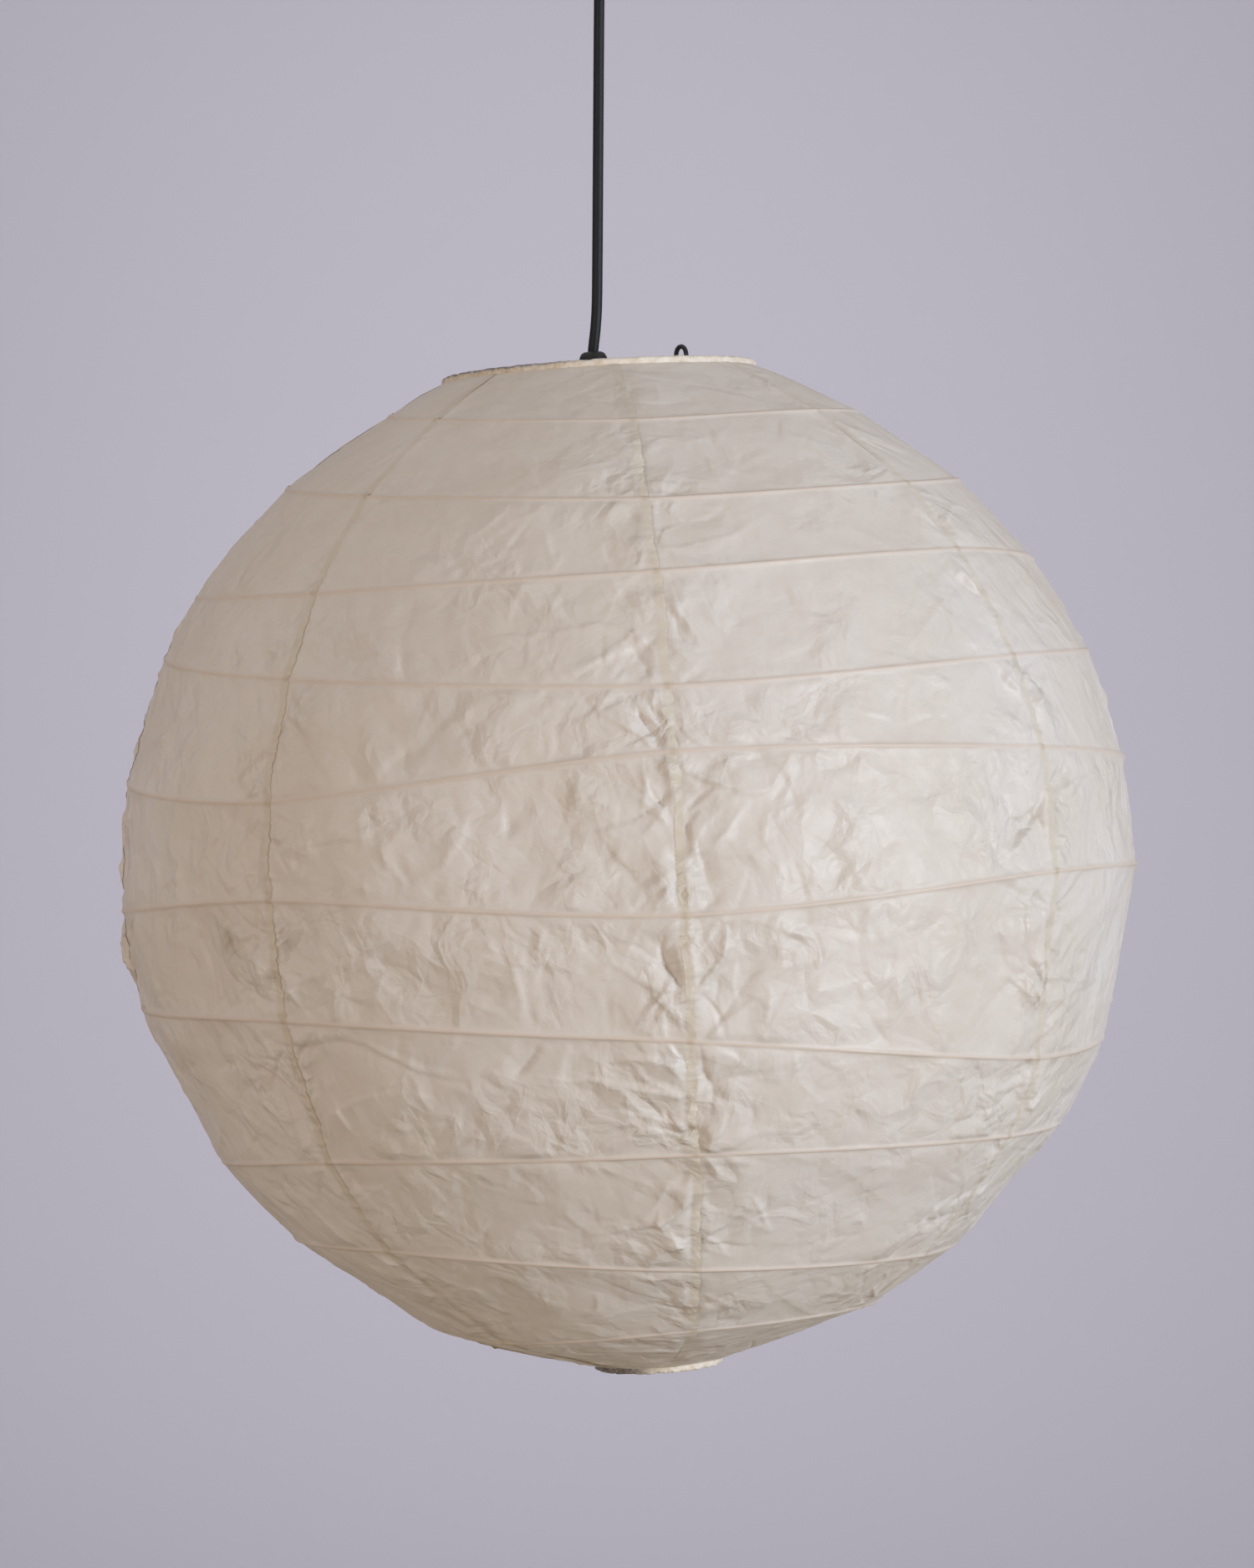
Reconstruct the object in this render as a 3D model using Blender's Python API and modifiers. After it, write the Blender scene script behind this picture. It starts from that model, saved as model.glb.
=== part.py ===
"""A round paper lantern on a cord: paper gores over a bamboo spiral, held open by a wire stretcher.

World frame in metres, +Z up. The origin is the centre of the ceiling plate's top face, and the cord hangs
down from there. The lantern has a frame of its own: its origin is the globe's centre, and +Z is its axis.
Azimuths are in degrees round the lantern's axis, from the front (-Y) towards the right (+X).
"""

import math

import bmesh
import bpy
from mathutils import Matrix, Vector

GAP = 0.0003                       # left between pieces that touch

# The lantern's place and its lean
LANTERN_CENTRE = (0.0159, 0.0038, -0.5396)
LEAN_LEFT = math.radians(3.48)
LEAN_FRONT = math.radians(0.8)

# The paper globe
RADIUS = 0.275
HALF_HEIGHT = 0.2765               # where the upper and lower curves would close
LOWER_FULLNESS = 1.12              # 1 is an ellipse, and more is slimmer
TOP_RIM_RADIUS = 0.0846
TOP_RIM_HEIGHT = 0.2698
TOP_BAND = 0.0045
BOTTOM_RIM_RADIUS = 0.034
BOTTOM_RIM_HEIGHT = -0.2717
BOTTOM_BAND = 0.003
PAPER = 0.0004
PAPER_SINK = 0.0012                # how far the paper sinks between two turns of bamboo
UPPER_CONE_FROM = 0.247
LOWER_CONE_FROM = -0.262
SLOPE_STEP = 0.004                 # the globe's slope is taken over twice this height
SLOPE_FROM = -0.264
SLOPE_TO = 0.262
GORES = 8
GORE_STEPS = 5                     # facets across one gore
FIRST_SEAM = 5.0
SEAM_SPREAD = 2.7                  # degrees that the seams spread away from the first one
FOOT_SPREAD = 9.0                  # how much more they spread at the foot
FOOT_TWIST = 3.0                   # how far they all run to the right at the foot
FOOT_FROM = -0.050
SEAM_GAP = 0.00018                 # between each gore's edge and the middle of its seam

# The bamboo: one strip that winds down the globe, with a splice in each turn
STRIP_RADIUS = 0.0008
STRIP_INSET = 0.0018
# Heights in millimetres of each turn at azimuths -85, -40, 5, 50 and 95
TURNS = [
    (252, 242, 233, 236, 238),
    (216, 202.5, 190, 193.5, 199),
    (159.5, 153.5, 152.5, 157, 151),
    (128.5, 110.5, 95, 100.5, 101.5),
    (62.5, 49, 63, 53, 39),
    (-7, 0, -17.5, -10.5, -17),
    (-59.5, -61.5, -80, -107, -106),
    (-146, -136.5, -138.5, -148, -153),
    (-189, -187, -202, -211.5, -213),
    (-238, -245, -239.5, -240, -245),
]
STRIP_START = 258.5                # millimetres, at azimuth 95
STRIP_END = -257.5                 # millimetres, at azimuth 275, after the last turn
START_AZIMUTH = 95
STATION = 45

# Rings
RING_WIRE = 0.0010
RING_STEPS = 40
BINDING_WIDTH = 0.0041

# The wire stretcher, in an upright plane turned from the front by this azimuth
STRETCHER_AZIMUTH = 36.4
WIRE = 0.0012
ARCH_OUTER = 0.0786
ARCH_INNER = 0.0707
ARCH_TOP = 0.2758
ARM_TOP = 0.262
FOOT_RADIUS = 0.0262
FOOT_KINK = 0.0302
FOOT_HEIGHT = -0.2690

# The lamp holder, turned about an axis beside the lantern's own
HOLDER_X = -0.0025
GRIP_TOP = 0.2790
GRIP_FOOT = 0.2620
CAP_RADIUS = 0.0205
CAP_FOOT = 0.2260
SKIRT_RADIUS = 0.0196
SKIRT_FOOT = 0.1920
SHOULDER_FOOT = 0.2223
EYE_HEIGHT = 0.2208
RING_TOP = 0.2193
SHADE_RING_HEIGHT = 0.0055
SOCKET_RADIUS = 0.0138
BULB_CAP_RADIUS = 0.0131
BULB_CAP_TOP = 0.2190
BULB_CENTRE = 0.1400
BULB_RADIUS = 0.0300

# The cord: the points of its route, from the hanger to the grip
CORD_RADIUS = 0.0029
CORD_TOP = -0.0350
CORD_ROUTE = [
    (0.0, 0.0, CORD_TOP),
    (0.0, 0.0, -0.0560),
    (-0.0003, 0.0, -0.0900),
    (-0.0007, 0.0, -0.1500),
    (-0.0011, 0.0, -0.2100),
    (-0.0014, 0.0, -0.2350),
    (-0.0022, 0.0, -0.2480),
    (-0.0031, 0.0, -0.2560),
    (-0.0035, 0.0, -0.2611),
    (-0.0033, 0.0, -0.2656),
]
CORD_STEP = 0.006

# The ceiling fitting
PLATE_RADIUS = 0.0420
PLATE_THICKNESS = 0.0025
PLATE_SCREW_X = 0.0280
HOOK_WIRE = 0.0015
HOOK_BOWL = 0.0050
HOOK_CENTRE = -0.0130
EYE_INSIDE = 0.0032
EYE_WIRE = 0.0012
HANGER_TOP = -0.0240
HANGER_FOOT = -0.0390
CUP_FOOT = -0.0540
CUP_WALL = 0.0012
CUP_OUTLET = 0.0100                # wide enough for the cord to swing in with the cup pulled down


def clear_scene():
    for item in list(bpy.data.objects):
        bpy.data.objects.remove(item)


def make_collection(name, cutters=False):
    group = bpy.data.collections.new(name)
    bpy.context.scene.collection.children.link(group)
    group.hide_render = cutters
    return group


def make_material(name, colour, roughness, metallic=0.0):
    material = bpy.data.materials.new(name)
    material.use_nodes = True
    shader = material.node_tree.nodes["Principled BSDF"]
    shader.inputs["Base Color"].default_value = (*colour, 1.0)
    shader.inputs["Roughness"].default_value = roughness
    shader.inputs["Metallic"].default_value = metallic
    material.diffuse_color = (*colour, 1.0)
    return material


def add_object(name, data, material, group, parent=None, place=(0, 0, 0)):
    item = bpy.data.objects.new(name, data)
    group.objects.link(item)
    item.parent = parent
    item.location = place
    data.materials.append(material)
    return item


def mesh_from(bm, name):
    mesh = bpy.data.meshes.new(name)
    bm.normal_update()
    bm.to_mesh(mesh)
    bm.free()
    return mesh


def smooth(item, angle=40):
    item.data.shade_smooth()
    item.data.set_sharp_from_angle(angle=math.radians(angle))


def turned(name, outline, material, group, parent=None, place=(0, 0, 0), steps=24, closed=True):
    """An outline of (radius, height) points, running down its outer side, turned about the local Z."""
    bm = bmesh.new()
    points = [bm.verts.new((radius, 0, height)) for radius, height in outline]
    followers = points[1:] + points[:1] if closed else points[1:]
    for start, end in zip(points, followers):
        bm.edges.new((start, end))
    item = add_object(name, mesh_from(bm, name), material, group, parent, place)
    screw = item.modifiers.new("Turn", "SCREW")
    screw.steps = steps
    screw.render_steps = steps
    screw.use_merge_vertices = True
    screw.merge_threshold = 0.00001
    screw.use_smooth_shade = True
    return item


def solid_turned(name, outline, material, group, parent=None, place=(0, 0, 0), steps=24):
    """As turned(), for an outline whose first and last points are on the axis."""
    return turned(name, outline, material, group, parent, place, steps, closed=False)


def wire(name, points, radius, material, group, parent=None, closed=False, sides=2):
    """A round wire or cord along points, with filled ends."""
    curve = bpy.data.curves.new(name, "CURVE")
    curve.dimensions = "3D"
    curve.bevel_depth = radius
    curve.bevel_resolution = sides
    curve.use_fill_caps = True
    spline = curve.splines.new("POLY")
    spline.points.add(len(points) - 1)
    for spot, point in zip(spline.points, points):
        spot.co = (*point, 1.0)
    spline.use_cyclic_u = closed
    return add_object(name, curve, material, group, parent)


def torus(name, ring_radius, wire_radius, height, material, group, parent, x=0.0, steps=RING_STEPS):
    """A ring of round wire that lies level in its parent's frame."""
    bpy.ops.mesh.primitive_torus_add(
        major_radius=ring_radius, minor_radius=wire_radius, major_segments=steps, minor_segments=6)
    item = bpy.context.object
    for other in list(item.users_collection):
        other.objects.unlink(item)
    group.objects.link(item)
    item.name = name
    item.data.name = name
    item.parent = parent
    item.location = (x, 0, height)
    item.data.materials.append(material)
    smooth(item, 60)
    return item


def smooth_route(points, step):
    """Points a step apart on a Catmull-Rom curve through the route's points."""
    route = [Vector(point) for point in points]
    route = [2 * route[0] - route[1], *route, 2 * route[-1] - route[-2]]
    line = [route[1]]
    for before, start, end, after in zip(route, route[1:], route[2:], route[3:]):
        count = max(1, round((end - start).length / step))
        for index in range(1, count + 1):
            t = index / count
            line.append(0.5 * (2 * start + (end - before) * t
                               + (2 * before - 5 * start + 4 * end - after) * t ** 2
                               + (3 * start - before - 3 * end + after) * t ** 3))
    return line


def globe_radius(height):
    """The globe's radius where the paper lies on the bamboo."""
    if height > UPPER_CONE_FROM:
        share = (height - UPPER_CONE_FROM) / (TOP_RIM_HEIGHT - TOP_BAND - UPPER_CONE_FROM)
        return globe_radius(UPPER_CONE_FROM) * (1 - share) + TOP_RIM_RADIUS * share
    if height < LOWER_CONE_FROM:
        share = (LOWER_CONE_FROM - height) / (LOWER_CONE_FROM - BOTTOM_RIM_HEIGHT - BOTTOM_BAND)
        return globe_radius(LOWER_CONE_FROM) * (1 - share) + BOTTOM_RIM_RADIUS * share
    power = 0.5 if height > 0 else LOWER_FULLNESS / 2
    return RADIUS * (1 - (height / HALF_HEIGHT) ** 2) ** power


def globe_point(azimuth, height, radius):
    """A point of the lantern's frame, where the seams' uneven run moves it round a little from its azimuth."""
    foot = max(0.0, (FOOT_FROM - height) / (FOOT_FROM - BOTTOM_RIM_HEIGHT))
    spread = (SEAM_SPREAD + FOOT_SPREAD * foot) * math.sin(math.radians(azimuth - FIRST_SEAM))
    angle = math.radians(azimuth + FOOT_TWIST * foot ** 2 + spread)
    return Vector((radius * math.sin(angle), -radius * math.cos(angle), height))


def strip_stations():
    """The bamboo's heights in metres at every seam it crosses, from its start to its end."""
    heights = [STRIP_START]
    for turn in TURNS:
        last = heights[-1]
        heights += [last + (turn[0] - last) * step / 4 for step in (1, 2, 3)]
        heights += list(turn)
    last = heights[-1]
    heights += [last + (STRIP_END - last) * step / 4 for step in (1, 2, 3, 4)]
    return [height / 1000 for height in heights]


STATIONS = strip_stations()
STRIP_LENGTH = STATION * (len(STATIONS) - 1)   # degrees round the globe from the bamboo's start to its end


def strip_height(turned_by):
    """The bamboo's height after it has gone this many degrees round from its start."""
    place = turned_by / STATION
    index = min(int(place), len(STATIONS) - 2)
    share = place - index
    return STATIONS[index] * (1 - share) + STATIONS[index + 1] * share


def surface_normal(height):
    """The globe's outward slope at a height, as (outward, up)."""
    low = max(SLOPE_FROM, height - SLOPE_STEP)
    high = min(SLOPE_TO, height + SLOPE_STEP)
    run = globe_radius(high) - globe_radius(low)
    return Vector((high - low, -run)).normalized()


def gore_rows(left):
    """The rows of the gore that starts at this azimuth: its heights at its two seams, and a sink."""
    top = TOP_RIM_HEIGHT - TOP_BAND - GAP
    foot = BOTTOM_RIM_HEIGHT + BOTTOM_BAND + GAP
    held = [(top, top, 0.0)]
    place = (left - START_AZIMUTH) % 360
    while place + STATION <= STRIP_LENGTH:
        held.append((strip_height(place), strip_height(place + STATION), 0.0))
        place += 360
    held.append((foot, foot, 0.0))
    rows = held[:1]
    for above, below in zip(held, held[1:]):
        middle = ((above[0] + below[0]) / 2, (above[1] + below[1]) / 2, PAPER_SINK)
        rows += [middle, below]
    return rows


def chord_radius(above, below):
    """The radius half way along the straight line between two heights on the globe."""
    return (globe_radius(above) + globe_radius(below)) / 2


def make_gore(number, material, group, parent):
    """One strip of paper from rim to rim, lying on the bamboo and sunk a little between its turns."""
    left = FIRST_SEAM + STATION * (number - 1)
    rows = gore_rows(left)
    bm = bmesh.new()
    bmesh.ops.create_grid(bm, x_segments=GORE_STEPS, y_segments=len(rows) - 1, size=1)
    for vert in bm.verts:
        across = (vert.co.x + 1) / 2
        index = round((1 - vert.co.y) / 2 * (len(rows) - 1))
        left_height, right_height, sink = rows[index]
        height = left_height * (1 - across) + right_height * across
        radius = globe_radius(height)
        if sink:
            above, below = rows[index - 1], rows[index + 1]
            radius = chord_radius(above[0] * (1 - across) + above[1] * across,
                                  below[0] * (1 - across) + below[1] * across) - sink
        if index in (0, len(rows) - 1):
            radius += GAP
        at_seam = across < 0.01 or across > 0.99
        edge = math.degrees(SEAM_GAP / radius) * (1 - 2 * across) if at_seam else 0.0
        vert.co = globe_point(left + STATION * across + edge, height, radius)
    name = f"paper_gore_{number}"
    item = add_object(name, mesh_from(bm, name), material, group, parent)
    thicken = item.modifiers.new("Paper", "SOLIDIFY")
    thicken.thickness = PAPER
    thicken.offset = 1.0
    thicken.use_even_offset = True
    item.data.shade_smooth()
    return item


def make_rib(number, material, group, parent):
    """One turn of the bamboo strip, inside the paper."""
    start = 360 * (number - 1)
    end = min(start + 360, STRIP_LENGTH)
    count = round((end - start) / STATION * GORE_STEPS)
    line = []
    for index in range(count + 1):
        turned_by = start + (end - start) * index / count
        height = strip_height(turned_by)
        out, up = surface_normal(height)
        spot = globe_point(START_AZIMUTH + turned_by, height, globe_radius(height) - STRIP_INSET * out)
        spot.z -= STRIP_INSET * up
        line.append(spot)
    line[0] += (line[1] - line[0]).normalized() * GAP
    line[-1] += (line[-2] - line[-1]).normalized() * GAP
    return wire(f"bamboo_turn_{number:02d}", line, STRIP_RADIUS, material, group, parent, sides=0)


def make_shade(paper, bamboo, steel, binding, group, lantern):
    for number in range(1, GORES + 1):
        make_gore(number, paper, group, lantern)
    turns = math.ceil(STRIP_LENGTH / 360)
    for number in range(1, turns + 1):
        make_rib(number, bamboo, group, lantern)
    for name, rim, height, band, up in (
            ("top", TOP_RIM_RADIUS, TOP_RIM_HEIGHT, TOP_BAND, -1),
            ("bottom", BOTTOM_RIM_RADIUS, BOTTOM_RIM_HEIGHT, BOTTOM_BAND, 1)):
        inside = rim - BINDING_WIDTH
        turned(f"{name}_binding", [
            (rim, height), (rim, height + up * band), (rim - PAPER, height + up * band),
            (rim - PAPER, height + up * PAPER), (inside + PAPER, height + up * PAPER),
            (inside + PAPER, height + up * band), (inside, height + up * band), (inside, height),
        ][::-up], binding, group, lantern, steps=RING_STEPS)
        torus(f"{name}_ring", (rim + inside) / 2, RING_WIRE,
              height + up * (PAPER + GAP + RING_WIRE), steel, group, lantern)


def stretcher_spot(along, height, side=1):
    angle = math.radians(STRETCHER_AZIMUTH)
    return Vector((side * along * math.sin(angle), -side * along * math.cos(angle), height))


def make_stretcher(metal, group, lantern):
    """An eye round the lamp holder, two bent arms that reach both rings, and a bar across the foot."""
    torus("stretcher_eye", SKIRT_RADIUS + GAP + WIRE, WIRE, EYE_HEIGHT, metal, group, lantern, HOLDER_X, 28)
    bend = (ARCH_OUTER - ARCH_INNER) / 2
    middle = (ARCH_OUTER + ARCH_INNER) / 2
    for name, side in (("near", 1), ("far", -1)):
        eye_shift = side * HOLDER_X * math.sin(math.radians(STRETCHER_AZIMUTH))
        start = SKIRT_RADIUS + 3 * WIRE + 3 * GAP + eye_shift
        line = [(start, EYE_HEIGHT), (start + 0.010, EYE_HEIGHT + 0.0015),
                (ARCH_INNER - 0.006, ARM_TOP - 0.006),
                (ARCH_INNER - 0.0015, ARM_TOP - 0.0015), (ARCH_INNER, ARM_TOP + 0.003)]
        for index in range(7):
            angle = math.pi * (1 - index / 6)
            line.append((middle + bend * math.cos(angle), ARCH_TOP - WIRE - bend + bend * math.sin(angle)))
        line += [(ARCH_OUTER, ARM_TOP + 0.001), (ARCH_OUTER - 0.0012, ARM_TOP - 0.012), (0.0690, 0.150),
                 (0.0555, 0.0), (0.0410, -0.150), (FOOT_RADIUS + 0.0012, FOOT_HEIGHT + 0.018),
                 (FOOT_KINK, FOOT_HEIGHT + 0.0075), (FOOT_RADIUS, FOOT_HEIGHT + 0.0035),
                 (FOOT_RADIUS - 0.0015, FOOT_HEIGHT)]
        spots = [stretcher_spot(along, height, side) for along, height in line]
        wire(f"stretcher_arm_{name}", spots, WIRE, metal, group, lantern)
    reach = FOOT_RADIUS - 0.0015 - WIRE - 2 * GAP
    wire("stretcher_foot_bar", [stretcher_spot(reach * share, FOOT_HEIGHT - 0.0005)
                                for share in (-1, -0.5, 0, 0.5, 1)], WIRE, metal, group, lantern)


def make_holder(plastic, ceramic, brass, group, lantern):
    place = (HOLDER_X, 0, 0)
    mouth = CORD_RADIUS + GAP + 0.0009
    turned("cord_grip", [
        (mouth, GRIP_TOP - 0.0006), (0.0050, GRIP_TOP), (0.0062, GRIP_TOP - 0.0008),
        (0.0070, GRIP_TOP - 0.0024), (0.0075, GRIP_TOP - 0.0045), (0.0078, GRIP_TOP - 0.0070),
        (0.0092, GRIP_TOP - 0.0110),
        (0.0108, GRIP_FOOT), (CORD_RADIUS + GAP, GRIP_FOOT), (CORD_RADIUS + GAP, GRIP_TOP - 0.0045),
    ], plastic, group, lantern, place, 20)
    top = GRIP_FOOT - GAP
    wall = 0.0018
    turned("holder_cap", [
        (0.0050, top), (0.0105, top), (0.0150, top - 0.0030), (0.0185, top - 0.0090),
        (CAP_RADIUS, top - 0.0180), (CAP_RADIUS, CAP_FOOT), (CAP_RADIUS - wall, CAP_FOOT),
        (CAP_RADIUS - wall, top - 0.0180), (0.0168, top - 0.0105), (0.0135, top - 0.0045),
        (0.0100, top - wall), (0.0050, top - wall),
    ], plastic, group, lantern, place)
    turned("holder_skirt", [
        (SOCKET_RADIUS, CAP_FOOT - GAP), (0.0225, CAP_FOOT - GAP), (0.0225, SHOULDER_FOOT),
        (SKIRT_RADIUS, SHOULDER_FOOT), (SKIRT_RADIUS, SKIRT_FOOT + 0.0010),
        (SKIRT_RADIUS - 0.0010, SKIRT_FOOT), (SOCKET_RADIUS + 0.0010, SKIRT_FOOT),
        (SOCKET_RADIUS, SKIRT_FOOT + 0.0010),
    ], plastic, group, lantern, place)
    solid_turned("socket_insert", [
        (0, CAP_FOOT + 0.0110), (0.0120, CAP_FOOT + 0.0110), (0.0180, CAP_FOOT + 0.0080),
        (0.0180, CAP_FOOT + GAP), (0.0060, CAP_FOOT + GAP), (0.0060, CAP_FOOT + 0.0025),
        (0, CAP_FOOT + 0.0025),
    ], ceramic, group, lantern, place)
    solid_turned("socket_contact", [
        (0, CAP_FOOT + 0.0022), (0.0040, CAP_FOOT + 0.0022), (0.0040, CAP_FOOT + 0.0010),
        (0.0018, CAP_FOOT - 0.0030), (0, CAP_FOOT - 0.0036),
    ], brass, group, lantern, place, 16)
    inside = SKIRT_RADIUS + GAP
    foot = RING_TOP - SHADE_RING_HEIGHT
    turned("shade_ring_nut", [
        (inside, RING_TOP), (0.0255, RING_TOP), (0.0272, RING_TOP - 0.0012), (0.0272, foot + 0.0010),
        (0.0262, foot), (inside, foot),
    ], plastic, group, lantern, place, 24)


def make_bulb(opal, metal, brass, group, lantern):
    place = (HOLDER_X, 0, 0)
    neck = 0.0140
    wall = 0.0010
    neck_top = SKIRT_FOOT + 0.0008
    turns = [math.radians(turn) for turn in (54, 72, 90, 108, 126, 144, 162, 180)]
    arc = [(BULB_RADIUS * math.sin(turn), BULB_CENTRE + BULB_RADIUS * math.cos(turn)) for turn in turns]
    outer = [(neck - 0.0012, neck_top), (neck, neck_top - 0.0060), (0.0170, neck_top - 0.0200), *arc]
    inner = [(max(0.0, radius - wall), height + (wall if radius < 0.012 and height < BULB_CENTRE else 0.0))
             for radius, height in reversed(outer)]
    solid_turned("bulb_globe", outer + inner + [outer[0]], opal, group, lantern, place, 20)
    foot = neck_top + GAP
    solid_turned("bulb_cap", [
        (0, BULB_CAP_TOP), (0.0070, BULB_CAP_TOP), (0.0118, BULB_CAP_TOP - 0.0040),
        (BULB_CAP_RADIUS, BULB_CAP_TOP - 0.0060), (BULB_CAP_RADIUS, foot + 0.0010),
        (BULB_CAP_RADIUS - 0.0012, foot), (0, foot),
    ], metal, group, lantern, place)
    solid_turned("bulb_contact", [
        (0, BULB_CAP_TOP + 0.0030), (0.0030, BULB_CAP_TOP + 0.0026), (0.0046, BULB_CAP_TOP + GAP),
        (0, BULB_CAP_TOP + GAP),
    ], brass, group, lantern, place, 16)


def baked(item, group):
    """The mesh that a curve or modified object makes, welded, as a new object in its place."""
    graph = bpy.context.evaluated_depsgraph_get()
    bpy.context.view_layer.update()
    mesh = bpy.data.meshes.new_from_object(item.evaluated_get(graph))
    bm = bmesh.new()
    bm.from_mesh(mesh)
    bmesh.ops.remove_doubles(bm, verts=bm.verts, dist=0.00001)
    bmesh.ops.recalc_face_normals(bm, faces=bm.faces)
    bm.to_mesh(mesh)
    bm.free()
    name = item.name
    made = bpy.data.objects.new(name + "_mesh", mesh)
    group.objects.link(made)
    made.matrix_world = item.matrix_world
    bpy.data.objects.remove(item)
    made.name = name
    return made


def boolean(item, cutter, operation):
    cut = item.modifiers.new(operation.title(), "BOOLEAN")
    cut.operation = operation
    cut.object = cutter
    cutter.display_type = "WIRE"
    cutter.hide_render = True


def box(name, low, high, material, group):
    bm = bmesh.new()
    bmesh.ops.create_cube(bm, size=1)
    size = Vector(high) - Vector(low)
    bmesh.ops.transform(bm, matrix=Matrix.Diagonal((*size, 1)), verts=bm.verts)
    return add_object(name, mesh_from(bm, name), material, group, None, (Vector(low) + Vector(high)) / 2)


def cylinder(name, radius, foot, top, material, group, x=0.0, sides=48):
    bm = bmesh.new()
    bmesh.ops.create_cone(
        bm, cap_ends=True, segments=sides, radius1=radius, radius2=radius, depth=top - foot)
    return add_object(name, mesh_from(bm, name), material, group, None, (x, 0, (top + foot) / 2))


def make_ceiling_fitting(plastic, steel, group, cutters):
    drill = [cylinder(f"screw_hole_{number}", 0.0025, -0.004, 0.001, steel, cutters, x, 16)
             for number, x in ((1, PLATE_SCREW_X), (2, -PLATE_SCREW_X))]
    plate = cylinder("ceiling_plate", PLATE_RADIUS, -PLATE_THICKNESS, 0, steel, group)
    head = -PLATE_THICKNESS - GAP
    for number, hole in enumerate(drill, 1):
        boolean(plate, hole, "DIFFERENCE")
        solid_turned(f"plate_screw_{number}", [
            (0, -GAP), (0.0021, -GAP), (0.0021, head), (0.0042, head), (0.0040, head - 0.0018),
            (0.0024, head - 0.0027), (0, head - 0.0029),
        ], steel, group, None, (hole.location.x, 0, 0), 16)
    hook = [(0, 0, -PLATE_THICKNESS - GAP), (0, 0, -0.0050), (0.0016, 0, -0.0070)]
    for index in range(9):
        angle = math.radians(50 - index * 27.5)
        hook.append((HOOK_BOWL * math.cos(angle), 0, HOOK_CENTRE + HOOK_BOWL * math.sin(angle)))
    wire("ceiling_hook", hook, HOOK_WIRE, steel, group)
    box("terminal_block", (0.0120, -0.0210, -0.0150), (0.0220, -0.0085, head), plastic, group)


def make_hanger(plastic, steel, group, cutters):
    """A moulded block that holds the cord, with an eye that hangs on the hook."""
    bowl_foot = HOOK_CENTRE - HOOK_BOWL
    eye_centre = bowl_foot + HOOK_WIRE + GAP - EYE_INSIDE
    ring = []
    for index in range(20):
        angle = math.tau * index / 20
        reach = EYE_INSIDE + EYE_WIRE
        ring.append((0, reach * math.cos(angle), eye_centre + reach * math.sin(angle)))
    eye = baked(wire("hanger_eye", ring, EYE_WIRE, plastic, cutters, closed=True), cutters)
    bore = solid_turned("hanger_bore", [
        (0, CORD_TOP + 0.0010), (CORD_RADIUS + GAP, CORD_TOP + 0.0010), (CORD_RADIUS + GAP, CORD_TOP),
        (CORD_RADIUS + 0.0011, HANGER_FOOT - 0.0005), (0, HANGER_FOOT - 0.0005)],
        plastic, cutters, None, (0, 0, 0), 20)
    block = box("cord_hanger", (-0.0065, -0.0060, HANGER_FOOT), (0.0065, 0.0060, HANGER_TOP), plastic, group)
    boolean(block, eye, "UNION")
    boolean(block, bore, "DIFFERENCE")
    screw = solid_turned("hanger_screw", [
        (0, 0.0016), (0.0018, 0.0016), (0.0020, 0.0006), (0.0020, 0), (0, 0)],
        steel, group, None, (0, -0.0060 - GAP, -0.0300), 16)
    screw.rotation_euler = (math.radians(90), 0, 0)


def make_canopy(plastic, group):
    """The cup that pushes over the plate and hides the hook, with a wide outlet that the cord swings in."""
    inside = PLATE_RADIUS + GAP
    outside = inside + CUP_WALL
    turned("canopy_cup", [
        (inside, -0.0004), (outside, -0.0004), (outside, -0.0200), (outside - 0.0020, -0.0300),
        (outside - 0.0090, -0.0400), (outside - 0.0210, -0.0470), (0.0160, -0.0500), (0.0122, CUP_FOOT),
        (CUP_OUTLET + 0.0006, CUP_FOOT), (CUP_OUTLET, CUP_FOOT + 0.0006), (0.0110, -0.0500 + CUP_WALL),
        (outside - 0.0215, -0.0470 + CUP_WALL), (outside - 0.0097, -0.0400 + CUP_WALL),
        (inside - 0.0020, -0.0296), (inside, -0.0198),
    ], plastic, group, steps=28)


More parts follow.
